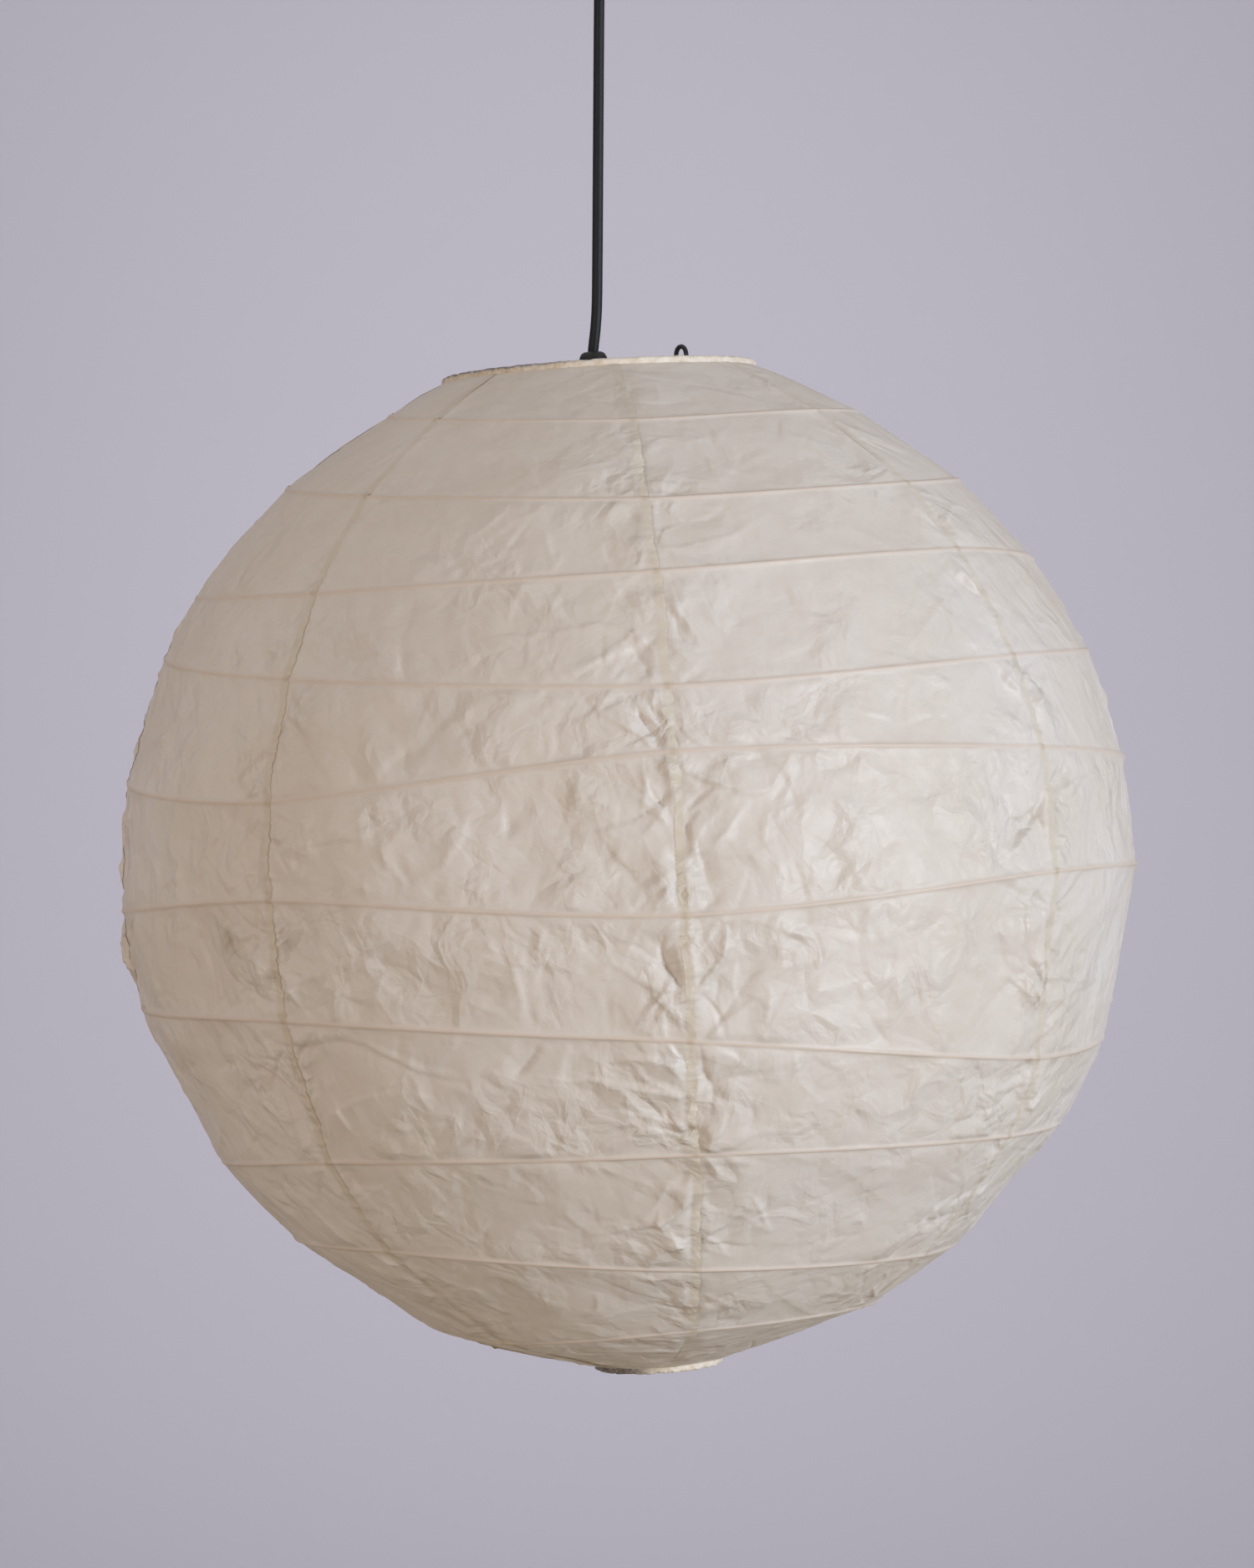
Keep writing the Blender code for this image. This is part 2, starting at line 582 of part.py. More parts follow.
def build():
    clear_scene()
    group = make_collection("paper_lantern")
    cutters = make_collection("cutters", cutters=True)
    paper = make_material("washi_paper", (0.56, 0.47, 0.41), 0.85)
    binding = make_material("rim_paper", (0.60, 0.52, 0.44), 0.85)
    bamboo = make_material("split_bamboo", (0.62, 0.38, 0.20), 0.6)
    black_wire = make_material("black_wire", (0.02, 0.02, 0.022), 0.4, 0.2)
    steel = make_material("zinc_steel", (0.55, 0.55, 0.56), 0.35, 0.9)
    black = make_material("black_plastic", (0.02, 0.02, 0.022), 0.45)
    cord_black = make_material("cord_black", (0.018, 0.018, 0.02), 0.6)
    ceramic = make_material("white_insert", (0.80, 0.79, 0.76), 0.4)
    brass = make_material("brass_contact", (0.70, 0.52, 0.22), 0.3, 1.0)
    cap_metal = make_material("bulb_cap_metal", (0.66, 0.66, 0.64), 0.3, 1.0)
    opal = make_material("opal_glass", (0.85, 0.84, 0.82), 0.3)

    lantern = bpy.data.objects.new("lantern_frame", None)
    group.objects.link(lantern)
    lantern.location = LANTERN_CENTRE
    lantern.rotation_euler = (LEAN_FRONT, -LEAN_LEFT, 0)

    make_shade(paper, bamboo, black_wire, binding, group, lantern)
    make_stretcher(black_wire, group, lantern)
    make_holder(black, ceramic, brass, group, lantern)
    make_bulb(opal, cap_metal, brass, group, lantern)
    wire("cord", smooth_route(CORD_ROUTE, CORD_STEP), CORD_RADIUS, cord_black, group)
    make_ceiling_fitting(black, steel, group, cutters)
    make_hanger(black, steel, group, cutters)
    make_canopy(black, group)


build()
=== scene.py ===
"""The looks of a round paper lantern: crumpled paper over a bamboo spiral, a wire stretcher, a black cord.

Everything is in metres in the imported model's frame. The lantern has a frame of its own, with its
origin at the globe's centre and +Z up its axis. Azimuths are in degrees round that axis, from the
front (-Y) to the right (+X). A gore is laid out flat as (across, along): metres from its middle line,
and metres down from the top rim. The heights and widths of folds are in metres too.
"""

import math

import bmesh
import bpy
import numpy as np
from mathutils import Euler, Matrix, Vector
from mathutils.geometry import delaunay_2d_cdt


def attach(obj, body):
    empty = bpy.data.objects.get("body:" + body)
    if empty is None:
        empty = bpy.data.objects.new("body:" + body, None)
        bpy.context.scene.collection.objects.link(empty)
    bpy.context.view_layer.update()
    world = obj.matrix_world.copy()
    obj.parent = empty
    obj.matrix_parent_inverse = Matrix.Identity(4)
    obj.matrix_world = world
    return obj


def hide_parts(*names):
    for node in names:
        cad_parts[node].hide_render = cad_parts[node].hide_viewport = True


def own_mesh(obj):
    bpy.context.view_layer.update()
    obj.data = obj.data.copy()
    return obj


# The lantern's place and lean, as in the CAD
CENTRE = Vector((0.0159, 0.0038, -0.5396))
LEAN_LEFT = math.radians(3.48)
LEAN_FRONT = math.radians(0.8)
PLACE = Matrix.Translation(CENTRE) @ Euler((LEAN_FRONT, -LEAN_LEFT, 0)).to_matrix().to_4x4()

# The globe
RADIUS = 0.275
HALF_HEIGHT = 0.2765
LOWER_FULLNESS = 1.12
TOP_RIM_RADIUS = 0.0846
TOP_RIM_HEIGHT = 0.2698
TOP_BAND = 0.0045
BOTTOM_RIM_RADIUS = 0.034
BOTTOM_RIM_HEIGHT = -0.2717
BOTTOM_BAND = 0.003
UPPER_CONE_FROM = 0.247
LOWER_CONE_FROM = -0.262
GORES = 8
FIRST_SEAM = 5.0
SEAM_SPREAD = 2.7
FOOT_SPREAD = 9.0
FOOT_TWIST = 3.0
FOOT_FROM = -0.050

# The bamboo's heights in millimetres in each turn at azimuths -85, -40, 5, 50 and 95
TURNS = [
    (252, 242, 233, 236, 238),
    (216, 202.5, 190, 193.5, 199),
    (159.5, 153.5, 152.5, 157, 151),
    (128.5, 110.5, 95, 100.5, 101.5),
    (62.5, 49, 63, 53, 39),
    (-7, 0, -17.5, -10.5, -17),
    (-59.5, -61.5, -80, -107, -106),
    (-146, -136.5, -138.5, -148, -153),
    (-189, -187, -202, -211.5, -213),
    (-238, -245, -239.5, -240, -245),
]
STRIP_START = 258.5
STRIP_END = -257.5
START_AZIMUTH = 95
STATION = 45
BAMBOO_TURNS = 11
BAMBOO_RADIUS = 0.0007
BAMBOO_INSET = 0.0011
CURVED = 0.75                      # how much of the bamboo's line between seams is a bend, not straight

# The cord, as in the CAD
CORD_RADIUS = 0.0029
CORD_ROUTE = [
    (0.0, 0.0, -0.0350),
    (0.0, 0.0, -0.0560),
    (-0.0003, 0.0, -0.0900),
    (-0.0007, 0.0, -0.1500),
    (-0.0011, 0.0, -0.2100),
    (-0.0014, 0.0, -0.2350),
    (-0.0022, 0.0, -0.2480),
    (-0.0031, 0.0, -0.2560),
    (-0.0035, 0.0, -0.2611),
    (-0.0033, 0.0, -0.2656),
]

# The binding of each rim
BINDING_WIDTH = 0.0046
BINDING_PROUD = 0.0007
FOOT_RIM_DROP = 0.0009
BINDING_STEPS = 420
RING_RADIUS = 0.0010

# The wire stretcher, as in the CAD with a slightly fuller arch
STRETCHER_AZIMUTH = 36.4
WIRE = 0.00125
ARCH_OUTER = 0.0792
ARCH_INNER = 0.0705
ARCH_TOP = 0.2770
ARM_TOP = 0.262
FOOT_RADIUS = 0.0262
FOOT_KINK = 0.0302
FOOT_HEIGHT = -0.2690

# The lamp holder and the bulb, as in the CAD
GAP = 0.0003                       # between parts that touch or slide past each other
HOLDER_X = -0.0025
GRIP_TOP = 0.2798
GRIP_FOOT = 0.2620
CAP_RADIUS = 0.0205
CAP_FOOT = 0.2260
SKIRT_RADIUS = 0.0196
SKIRT_FOOT = 0.1920
SHOULDER_FOOT = 0.2223
EYE_HEIGHT = 0.2208
RING_TOP = 0.2193
SOCKET_RADIUS = 0.0138
BULB_CAP_RADIUS = 0.0131
BULB_CAP_TOP = 0.2190
BULB_CENTRE = 0.1400
BULB_RADIUS = 0.0300

# The ceiling cup, as in the CAD
PLATE_RADIUS = 0.0420
CUP_FOOT = -0.0540
CUP_WALL = 0.0012
CUP_OUTLET = 0.0100

# The camera, level and looking along +Y
CAMERA_PLACE = (0.0150, -2.657, -0.4950)
CAMERA_LENS = 112.2

# The paper's look
COLUMNS = 184
ROW_STEP = 0.0012
RIDGE = 0.0008                     # how far the bamboo pushes the paper out
RIDGE_WIDTH = 0.0012
FACET_TILT = 0.16                  # how steep the small facets of the crumpled paper are
LEAST_BAND = 0.02                  # bands of paper narrower than this hold no folds
SEAM_FOLD_SPACING = 0.017
SEAM_FOLD_HEIGHT = (0.0010, 0.0028)
SEAM_FOLD_STEEP = (0.0006, 0.0014)
SEAM_FOLD_SHALLOW = (0.0030, 0.0075)
MIDDLE_FOLDS = 7600                # for each square metre of half a gore
MIDDLE_FOLD_HEIGHT = 0.00046
MIDDLE_FOLD_STEEP = (0.0007, 0.0015)
MIDDLE_FOLD_SHALLOW = (0.0028, 0.0065)
LONG_FOLDS = 2                     # in each band
BUCKLES = 110                      # for each metre of half a gore's width
BULGE = 0.0014                     # how far the paper stands out half way between two lines of bamboo
OVERLAP = 0.0045                   # how much of each gore lies on the next
SHEET_LIFT = 0.00012
SEAM_EDGE = 0.0003                 # how softly the doubled paper's colour begins
STAIN_ACROSS = 0.076
STAIN_HEIGHT = -0.022
STAIN_SIZE = (0.006, 0.013)
PAPER_TINTS = [
    ("seam", (0.76, 0.67, 0.51), 0.72),
    ("glue", (0.45, 0.35, 0.22), 0.6),
    ("rib", (0.80, 0.63, 0.49), 0.60),
    ("stain", (0.40, 0.33, 0.18), 0.55),
]

# Each plain look's name, colour, roughness, metallic, grain, depth of grain, and gloss
PLAIN_LOOKS = {
    "black": ("black_moulding", (0.010, 0.010, 0.011), 0.45, 0.0, 700.0),
    "satin": ("satin_black", (0.012, 0.012, 0.013), 0.32, 0.0, 350.0),
    "cord": ("cord_rubber", (0.006, 0.007, 0.009), 0.55, 0.0, 1200.0, 0.0001, 0.35),
    "wire": ("black_lacquer", (0.010, 0.010, 0.012), 0.35, 0.0, 900.0, 0.00008),
    "zinc": ("zinc_plate", (0.50, 0.51, 0.52), 0.34, 1.0, 500.0),
    "brass": ("brass", (0.62, 0.44, 0.17), 0.30, 1.0, 600.0),
    "cap_metal": ("nickel_cap", (0.62, 0.61, 0.58), 0.28, 1.0, 500.0),
    "ceramic": ("white_ceramic", (0.72, 0.70, 0.66), 0.30, 0.0, 300.0, 0.00003),
    "opal": ("opal_bulb", (0.80, 0.79, 0.76), 0.22, 0.0, 120.0, 0.00002),
}

# The backdrop
FLOOR = -2.2
FLOOR_REACH = 6.0
CORNER_RADIUS = 3.0
WALL_TOP = 6.0


# Materials

def new_material(name):
    """A material, with its node tree and its Principled shader."""
    material = bpy.data.materials.new(name)
    material.use_nodes = True
    return material, material.node_tree, material.node_tree.nodes["Principled BSDF"]


def plug(tree, sockets, values):
    """Gives sockets their values, and links those whose value is another node's output."""
    for key, value in values.items():
        if isinstance(value, bpy.types.NodeSocket):
            tree.links.new(value, sockets[key])
        else:
            sockets[key].default_value = value


def node(tree, kind, inputs=None, **settings):
    made = tree.nodes.new(kind)
    for key, value in settings.items():
        setattr(made, key, value)
    plug(tree, made.inputs, inputs or {})
    return made


def mixed(tree, factor, first, second):
    """A mix of two colours, each of them three numbers or another node's output."""
    first, second = ((*colour, 1.0) if isinstance(colour, tuple) else colour for colour in (first, second))
    return node(tree, "ShaderNodeMix", {0: factor, 6: first, 7: second}, data_type="RGBA").outputs[2]


def ranged(tree, value, from_min, from_max, to_min, to_max):
    limits = {"From Min": from_min, "From Max": from_max, "To Min": to_min, "To Max": to_max}
    return node(tree, "ShaderNodeMapRange", {"Value": value, **limits}).outputs["Result"]


def maths(tree, operation, first, second, kind="Math"):
    """A sum on two numbers or, with the kind VectorMath, on two vectors."""
    return node(tree, f"ShaderNode{kind}", {0: first, 1: second}, operation=operation).outputs[0]


def noise(tree, scale, detail=4.0, roughness=0.55, vector=None, distortion=0.0):
    inputs = {"Scale": scale, "Detail": detail, "Roughness": roughness, "Distortion": distortion}
    if vector is None:
        vector = node(tree, "ShaderNodeTexCoord").outputs["Object"]
    return node(tree, "ShaderNodeTexNoise", {**inputs, "Vector": vector}).outputs["Fac"]


def painted(tree, attribute):
    """The strengths that the mesh's points carry under this name."""
    return node(tree, "ShaderNodeAttribute", attribute_name=attribute).outputs["Fac"]


def flat_layout(tree):
    return node(tree, "ShaderNodeUVMap", uv_map="flat").outputs["UV"]


def bumped(tree, height, distance, strength, **under):
    inputs = {"Height": height, "Distance": distance, "Strength": strength, **under}
    return node(tree, "ShaderNodeBump", inputs).outputs["Normal"]


def pyramids(tree, spot, scale, distance, turn):
    """Heights in metres of a field of flat-sided pyramids, whose flat sides meet in sharp creases."""
    turned = node(tree, "ShaderNodeMapping", {"Vector": spot, "Rotation": (0.0, 0.0, turn)})
    cells = node(tree, "ShaderNodeTexVoronoi", {"Vector": turned.outputs["Vector"], "Scale": scale},
                 voronoi_dimensions="2D", feature="F1", distance=distance)
    return maths(tree, "DIVIDE", cells.outputs["Distance"], scale)


def small_facets(tree, spot):
    """Heights in metres of small facets, some standing out and some pushed in."""
    coarse = maths(tree, "SUBTRACT", pyramids(tree, spot, 44.0, "MANHATTAN", 0.4),
                   pyramids(tree, spot, 57.0, "CHEBYCHEV", 1.0))
    fine = maths(tree, "SUBTRACT", pyramids(tree, spot, 115.0, "CHEBYCHEV", 0.2),
                 pyramids(tree, spot, 140.0, "MANHATTAN", 1.3))
    return maths(tree, "ADD", coarse, maths(tree, "MULTIPLY", fine, 0.55))


def paper_material(name, light, warm, translucence):
    """Handmade paper: pale fibres in a cloudy colour, tan over the bamboo and cream where it is doubled."""
    material, tree, shader = new_material(name)
    flat = flat_layout(tree)
    cloud = noise(tree, 9.0, 5.0, 0.6)
    mottle = noise(tree, 90.0, 4.0, 0.6)
    longways = node(tree, "ShaderNodeMapping", {"Vector": flat, "Scale": (1.0, 3.2, 1.0)})
    fibres = noise(tree, 260.0, 5.0, 0.7, longways.outputs["Vector"], 0.6)
    grain = noise(tree, 1500.0, 3.0, 0.6, flat)
    colour = mixed(tree, ranged(tree, cloud, 0.35, 0.65, 0.0, 1.0), light, warm)
    colour = mixed(tree, ranged(tree, mottle, 0.3, 0.7, 0.0, 0.10), colour, (0.60, 0.50, 0.40))
    colour = mixed(tree, ranged(tree, fibres, 0.50, 0.72, 0.0, 0.16), colour, (0.93, 0.90, 0.85))
    for attribute, tint, strength in PAPER_TINTS:
        colour = mixed(tree, maths(tree, "MULTIPLY", painted(tree, attribute), strength), colour, tint)
    warped = node(tree, "ShaderNodeTexNoise", {"Vector": flat, "Scale": 30.0, "Detail": 1.0})
    offset = maths(tree, "MULTIPLY", warped.outputs["Color"], (0.024, 0.024, 0.0), "VectorMath")
    spot = maths(tree, "ADD", flat, offset, "VectorMath")
    patchy = ranged(tree, noise(tree, 20.0, 2.0, 0.5, flat), 0.40, 0.62, 0.22, 1.15)
    crumple = maths(tree, "MULTIPLY", painted(tree, "crumple"), patchy)
    wrinkle = maths(tree, "MULTIPLY", small_facets(tree, spot), crumple)
    fine = maths(tree, "ADD", maths(tree, "MULTIPLY", fibres, 0.6), maths(tree, "MULTIPLY", grain, 0.4))
    normal = bumped(tree, fine, 0.00018, 0.45, Normal=bumped(tree, wrinkle, FACET_TILT, 1.0))
    plug(tree, shader.inputs, {
        "Base Color": colour, "Roughness": ranged(tree, mottle, 0.3, 0.7, 0.41, 0.55),
        "Specular IOR Level": 0.46, "Normal": normal,
    })
    through = node(tree, "ShaderNodeBsdfTranslucent", {"Color": colour, "Normal": normal}).outputs[0]
    both = node(tree, "ShaderNodeMixShader", {0: translucence, 1: shader.outputs[0], 2: through})
    tree.links.new(both.outputs[0], tree.nodes["Material Output"].inputs["Surface"])
    return material


def plain_material(name, colour, roughness, metallic, grain, depth=0.00004, specular=0.5):
    """A moulded, painted or metal surface: a fine grain, and a little variation in colour and gloss."""
    material, tree, shader = new_material(name)
    fine = noise(tree, grain, 3.0)
    broad = noise(tree, grain / 12, 4.0)
    wear = 0.06
    lighter = tuple(min(1.0, part * 1.25 + 0.003) for part in colour)
    plug(tree, shader.inputs, {
        "Base Color": mixed(tree, ranged(tree, broad, 0.35, 0.7, 0.0, 0.5), colour, lighter),
        "Roughness": ranged(tree, fine, 0.3, 0.7, roughness - wear, roughness + wear),
        "Metallic": metallic, "Specular IOR Level": specular, "Normal": bumped(tree, fine, depth, 0.5),
    })
    return material


def rim_material():
    """The folded binding: cream paper, a brown pasted edge, and near-black painted shade on its shaded
    side.
    """
    material, tree, shader = new_material("binding_paper")
    flat = flat_layout(tree)
    streaks = noise(tree, 420.0, 4.0, 0.7, flat)
    patches = ranged(tree, noise(tree, 60.0, 4.0, 0.6, flat), 0.35, 0.65, 0.0, 1.0)
    colour = mixed(tree, patches, (0.86, 0.80, 0.71), (0.76, 0.66, 0.52))
    # the pasted edge's brown is partly painted shade; the near-black tint is painted shade
    for attribute, tint, limits in (("paste_and_shade", (0.52, 0.37, 0.20), (0.35, 0.6, 0.15, 0.95)),
                                    ("painted_shade", (0.10, 0.095, 0.10), (0.3, 0.6, 0.55, 1.0))):
        share = maths(tree, "MULTIPLY", painted(tree, attribute), ranged(tree, streaks, *limits))
        colour = mixed(tree, share, colour, tint)
    normal = bumped(tree, streaks, 0.0004, 0.6)
    plug(tree, shader.inputs, {"Base Color": colour, "Roughness": 0.6, "Normal": normal})
    return material


def bamboo_material():
    material, tree, shader = new_material("bamboo_split")
    fibres = noise(tree, 500.0, 4.0, 0.7)
    broad = ranged(tree, noise(tree, 30.0), 0.4, 0.6, 0.0, 0.4)
    colour = mixed(tree, ranged(tree, fibres, 0.3, 0.7, 0.0, 1.0), (0.55, 0.34, 0.17), (0.70, 0.50, 0.28))
    colour = mixed(tree, broad, colour, (0.45, 0.26, 0.12))
    normal = bumped(tree, fibres, 0.00015, 0.6)
    plug(tree, shader.inputs, {"Base Color": colour, "Roughness": 0.6, "Normal": normal})
    return material


# Objects

def add_object(name, data):
    made = bpy.data.objects.new(name, data)
    bpy.context.scene.collection.objects.link(made)
    return made


def stand_in(piece, body, node_name):
    """Puts a piece on a body, in place of a CAD node."""
    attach(piece, body)
    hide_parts(node_name)


def mesh_of(bm, name, material):
    mesh = bpy.data.meshes.new(name)
    bm.to_mesh(mesh)
    bm.free()
    mesh.materials.append(material)
    mesh.shade_smooth()
    return mesh


def paint(mesh, name, values):
    attribute = mesh.attributes.new(name, "FLOAT", "POINT")
    attribute.data.foreach_set("value", values.astype(np.float32).ravel())


def round_axis(radius, angle, height):
    """Points at these radii, azimuths in radians and heights on the lantern, in the model's frame."""
    spots = np.stack([radius * np.sin(angle), -radius * np.cos(angle), height + 0 * radius], axis=-1)
    matrix = np.array(PLACE)
    return spots.reshape(-1, 3) @ matrix[:3, :3].T + matrix[:3, 3]


def circle(x, radius, height, count):
    return [PLACE @ Vector((x + radius * math.cos(turn), radius * math.sin(turn), height))
            for turn in np.linspace(0, math.tau, count, endpoint=False)]


def spline(a, b, c, d, t):
    """The smooth curve through b and c at share t of the way between them, with a before and d after."""
    return 0.5 * (2 * b + (c - a) * t + (2 * a - 5 * b + 4 * c - d) * t ** 2
                  + (3 * b - a - 3 * c + d) * t ** 3)


# The globe's shape

def globe_radius(height):
    height = np.asarray(height, float)
    power = np.where(height > 0, 0.5, LOWER_FULLNESS / 2)
    curve = RADIUS * np.maximum(1e-9, 1 - (height / HALF_HEIGHT) ** 2) ** power
    top_join = RADIUS * (1 - (UPPER_CONE_FROM / HALF_HEIGHT) ** 2) ** 0.5
    share = (height - UPPER_CONE_FROM) / (TOP_RIM_HEIGHT - TOP_BAND - UPPER_CONE_FROM)
    curve = np.where(height > UPPER_CONE_FROM, top_join * (1 - share) + TOP_RIM_RADIUS * share, curve)
    foot_join = RADIUS * (1 - (LOWER_CONE_FROM / HALF_HEIGHT) ** 2) ** (LOWER_FULLNESS / 2)
    share = (LOWER_CONE_FROM - height) / (LOWER_CONE_FROM - BOTTOM_RIM_HEIGHT - BOTTOM_BAND)
    return np.where(height < LOWER_CONE_FROM, foot_join * (1 - share) + BOTTOM_RIM_RADIUS * share, curve)


def true_azimuth(azimuth, height):
    """Where an azimuth really lies at a height, since the seams run a little unevenly."""
    foot = np.maximum(0.0, (FOOT_FROM - height) / (FOOT_FROM - BOTTOM_RIM_HEIGHT))
    spread = (SEAM_SPREAD + FOOT_SPREAD * foot) * np.sin(np.radians(azimuth - FIRST_SEAM))
    return azimuth + FOOT_TWIST * foot ** 2 + spread


def strip_stations():
    heights = [STRIP_START]
    for turn in TURNS:
        last = heights[-1]
        heights += [last + (turn[0] - last) * step / 4 for step in (1, 2, 3)]
        heights += list(turn)
    last = heights[-1]
    heights += [last + (STRIP_END - last) * step / 4 for step in (1, 2, 3, 4)]
    return np.array(heights) / 1000


STATIONS = strip_stations()
STRIP_LENGTH = STATION * (len(STATIONS) - 1)


def strip_height(turned_by):
    """The bamboo's height after it has gone this many degrees round from its start."""
    place = np.clip(np.asarray(turned_by, float) / STATION, 0, len(STATIONS) - 1)
    index = np.minimum(place.astype(int), len(STATIONS) - 2)
    t = place - index
    spots = np.concatenate([[2 * STATIONS[0] - STATIONS[1]], STATIONS, [2 * STATIONS[-1] - STATIONS[-2]]])
    a, b, c, d = (spots[index + k] for k in range(4))
    return CURVED * spline(a, b, c, d, t) + (1 - CURVED) * (b * (1 - t) + c * t)


def wave(place, seed, octaves=3):
    """A smooth random line from -1 to 1, about one swing for each unit of place."""
    rng = np.random.default_rng(seed)
    total = np.zeros_like(np.asarray(place, float))
    for octave in range(octaves):
        rate, phase = rng.uniform(0.7, 1.3), rng.uniform(0, math.tau)
        total += np.sin(math.tau * place * rate * 1.9 ** octave + phase) / 1.6 ** octave
    return total / 2.0


# Crumpled paper

def scattered(rng, half_width, length, close, wide):
    """Points spread over a gore, close together near its two seams and wide apart in its middle."""
    points = []
    cells = {}
    tries = int(5 * half_width * length / close ** 2)
    for x, y in zip(rng.uniform(-half_width, half_width, tries), rng.uniform(0, length, tries)):
        near = math.exp(-((half_width - abs(x)) / 0.04) ** 2)
        space = close * near + wide * (1 - near)
        column, row = int(x / wide), int(y / wide)
        around = [p for i in (-1, 0, 1) for j in (-1, 0, 1) for p in cells.get((column + i, row + j), [])]
        if all((p[0] - x) ** 2 + (p[1] - y) ** 2 > space ** 2 for p in around):
            cells.setdefault((column, row), []).append((x, y))
            points.append((x, y))
    return points


def facets(rng, half_width, length, close, wide, across, along):
    """Heights of a sheet made of flat facets whose corners stand from about -1 to 1."""
    points = scattered(rng, half_width, length, close, wide)
    frame_rows = np.linspace(-wide, length + wide, 14)
    points += [(side * (half_width + wide), y) for side in (-1, 1) for y in frame_rows]
    corners, _, faces, _, _, _ = delaunay_2d_cdt([Vector(p) for p in points], [], [], 0, 1e-7)
    corners = np.array([tuple(corner) for corner in corners])
    heights = rng.normal(0, 1, len(corners)).clip(-1.8, 1.8)
    total = np.zeros(len(across))
    order = np.argsort(along)
    sorted_along = along[order]
    for face in faces:
        (x0, y0), (x1, y1), (x2, y2) = corners[list(face)]
        z0, z1, z2 = heights[list(face)]
        area = (x1 - x0) * (y2 - y0) - (x2 - x0) * (y1 - y0)
        first, last = np.searchsorted(sorted_along, (min(y0, y1, y2), max(y0, y1, y2)))
        near = order[first:last]
        near = near[(across[near] >= min(x0, x1, x2)) & (across[near] <= max(x0, x1, x2))]
        if abs(area) < 1e-12 or not len(near):
            continue
        px, py = across[near], along[near]
        w1 = ((px - x0) * (y2 - y0) - (x2 - x0) * (py - y0)) / area
        w2 = ((x1 - x0) * (py - y0) - (px - x0) * (y1 - y0)) / area
        inside = (w1 >= 0) & (w2 >= 0) & (w1 + w2 <= 1)
        total[near[inside]] = (z0 + (z1 - z0) * w1 + (z2 - z0) * w2)[inside]
    return total


def flip(rng):
    return rng.choice([-1, 1])


def crooked_line(rng, start, angle, length, bend=0.22):
    """A crooked line of flat points from a start, each step turning a little."""
    count = max(2, round(length / 0.010))
    line = [np.array(start, float)]
    for _ in range(count):
        line.append(line[-1] + np.array([math.cos(angle), math.sin(angle)]) * length / count)
        angle += rng.normal(0, bend)
    return np.array(line)


def add_fold(sheet, line, height, steep, shallow, side, start_share=0.35):
    """Adds a fold along a line: sharp at the line, steep on one side of it, shallow on the other."""
    total, across, along = sheet
    reach = 3.5 * max(steep, shallow)
    low, high = line.min(0) - reach, line.max(0) + reach
    near = np.flatnonzero((across > low[0]) & (across < high[0]) & (along > low[1]) & (along < high[1]))
    if not len(near):
        return
    px, py = across[near], along[near]
    best = np.full(len(near), 1e9)
    turn = np.zeros(len(near))
    place = np.zeros(len(near))
    steps = np.linalg.norm(np.diff(line, axis=0), axis=1)
    done = 0.0
    for start, end, step in zip(line, line[1:], steps):
        dx, dy = (end - start) / step
        t = np.clip((px - start[0]) * dx + (py - start[1]) * dy, 0, step)
        ox, oy = px - start[0] - t * dx, py - start[1] - t * dy
        distance = np.hypot(ox, oy)
        closer = distance < best
        best[closer] = distance[closer]
        turn[closer] = (dx * oy - dy * ox)[closer]
        place[closer] = (done + t[closer]) / steps.sum()
        done += step
    width = np.where(turn * side > 0, steep, shallow)
    rise = np.minimum(1, start_share + (1 - start_share) * place / 0.3)
    taper = rise * np.sqrt(np.clip(1 - place, 0, 1))
    total[near] += height * taper * np.exp(-best / width)


def seam_bands(seam):
    """The bands between lines of bamboo at a seam: top, foot, and the heights that folds fan out from."""
    azimuth = FIRST_SEAM + STATION * (seam % GORES)
    place = (azimuth - START_AZIMUTH) % 360
    turned = [place + 360 * turn for turn in range(BAMBOO_TURNS) if place + 360 * turn <= STRIP_LENGTH]
    heights = [TOP_RIM_HEIGHT] + [float(strip_height(degrees)) for degrees in turned] + [BOTTOM_RIM_HEIGHT]
    rng = np.random.default_rng(3000 + seam % GORES)
    bands = []
    for top, foot in zip(heights, heights[1:]):
        size = top - foot
        count = max(1, round(size / SEAM_FOLD_SPACING))
        spots = [top - size * (index + rng.uniform(0.25, 0.75)) / count for index in range(count)]
        bands.append((top, foot, spots))
    return bands


def latitude_strength(height):
    """How crumpled the paper is at a height: most near the middle, least near the rims."""
    return 1.0 - 0.72 * np.minimum(1.0, np.abs(height + 0.03) / 0.27) ** 1.6


def add_seam_folds(rng, sheet, seam, side, edge_of, along_of):
    """Folds that fan out from a seam into the gore, which lies on the given side of it."""
    for top, foot, spots in seam_bands(seam):
        if top - foot < LEAST_BAND:
            continue
        for spot in spots:
            strength = float(latitude_strength(spot))
            rising = 1 if rng.random() < 0.62 else -1
            for _ in range(rng.integers(2, 5)):
                slope = rising * rng.uniform(0.25, 1.15)
                length = (0.010 + rng.gamma(2.0, 0.013)) * (0.55 + 0.6 * strength)
                start = (edge_of(spot), along_of(spot) + rng.normal(0, 0.003))
                angle = -slope if side > 0 else math.pi + slope
                line = crooked_line(rng, start, angle, length)
                size = rng.choice([-1, 1], p=[0.45, 0.55]) * rng.uniform(*SEAM_FOLD_HEIGHT) * strength
                add_fold(sheet, line, size, rng.uniform(*SEAM_FOLD_STEEP), rng.uniform(*SEAM_FOLD_SHALLOW),
                         flip(rng), 0.8)


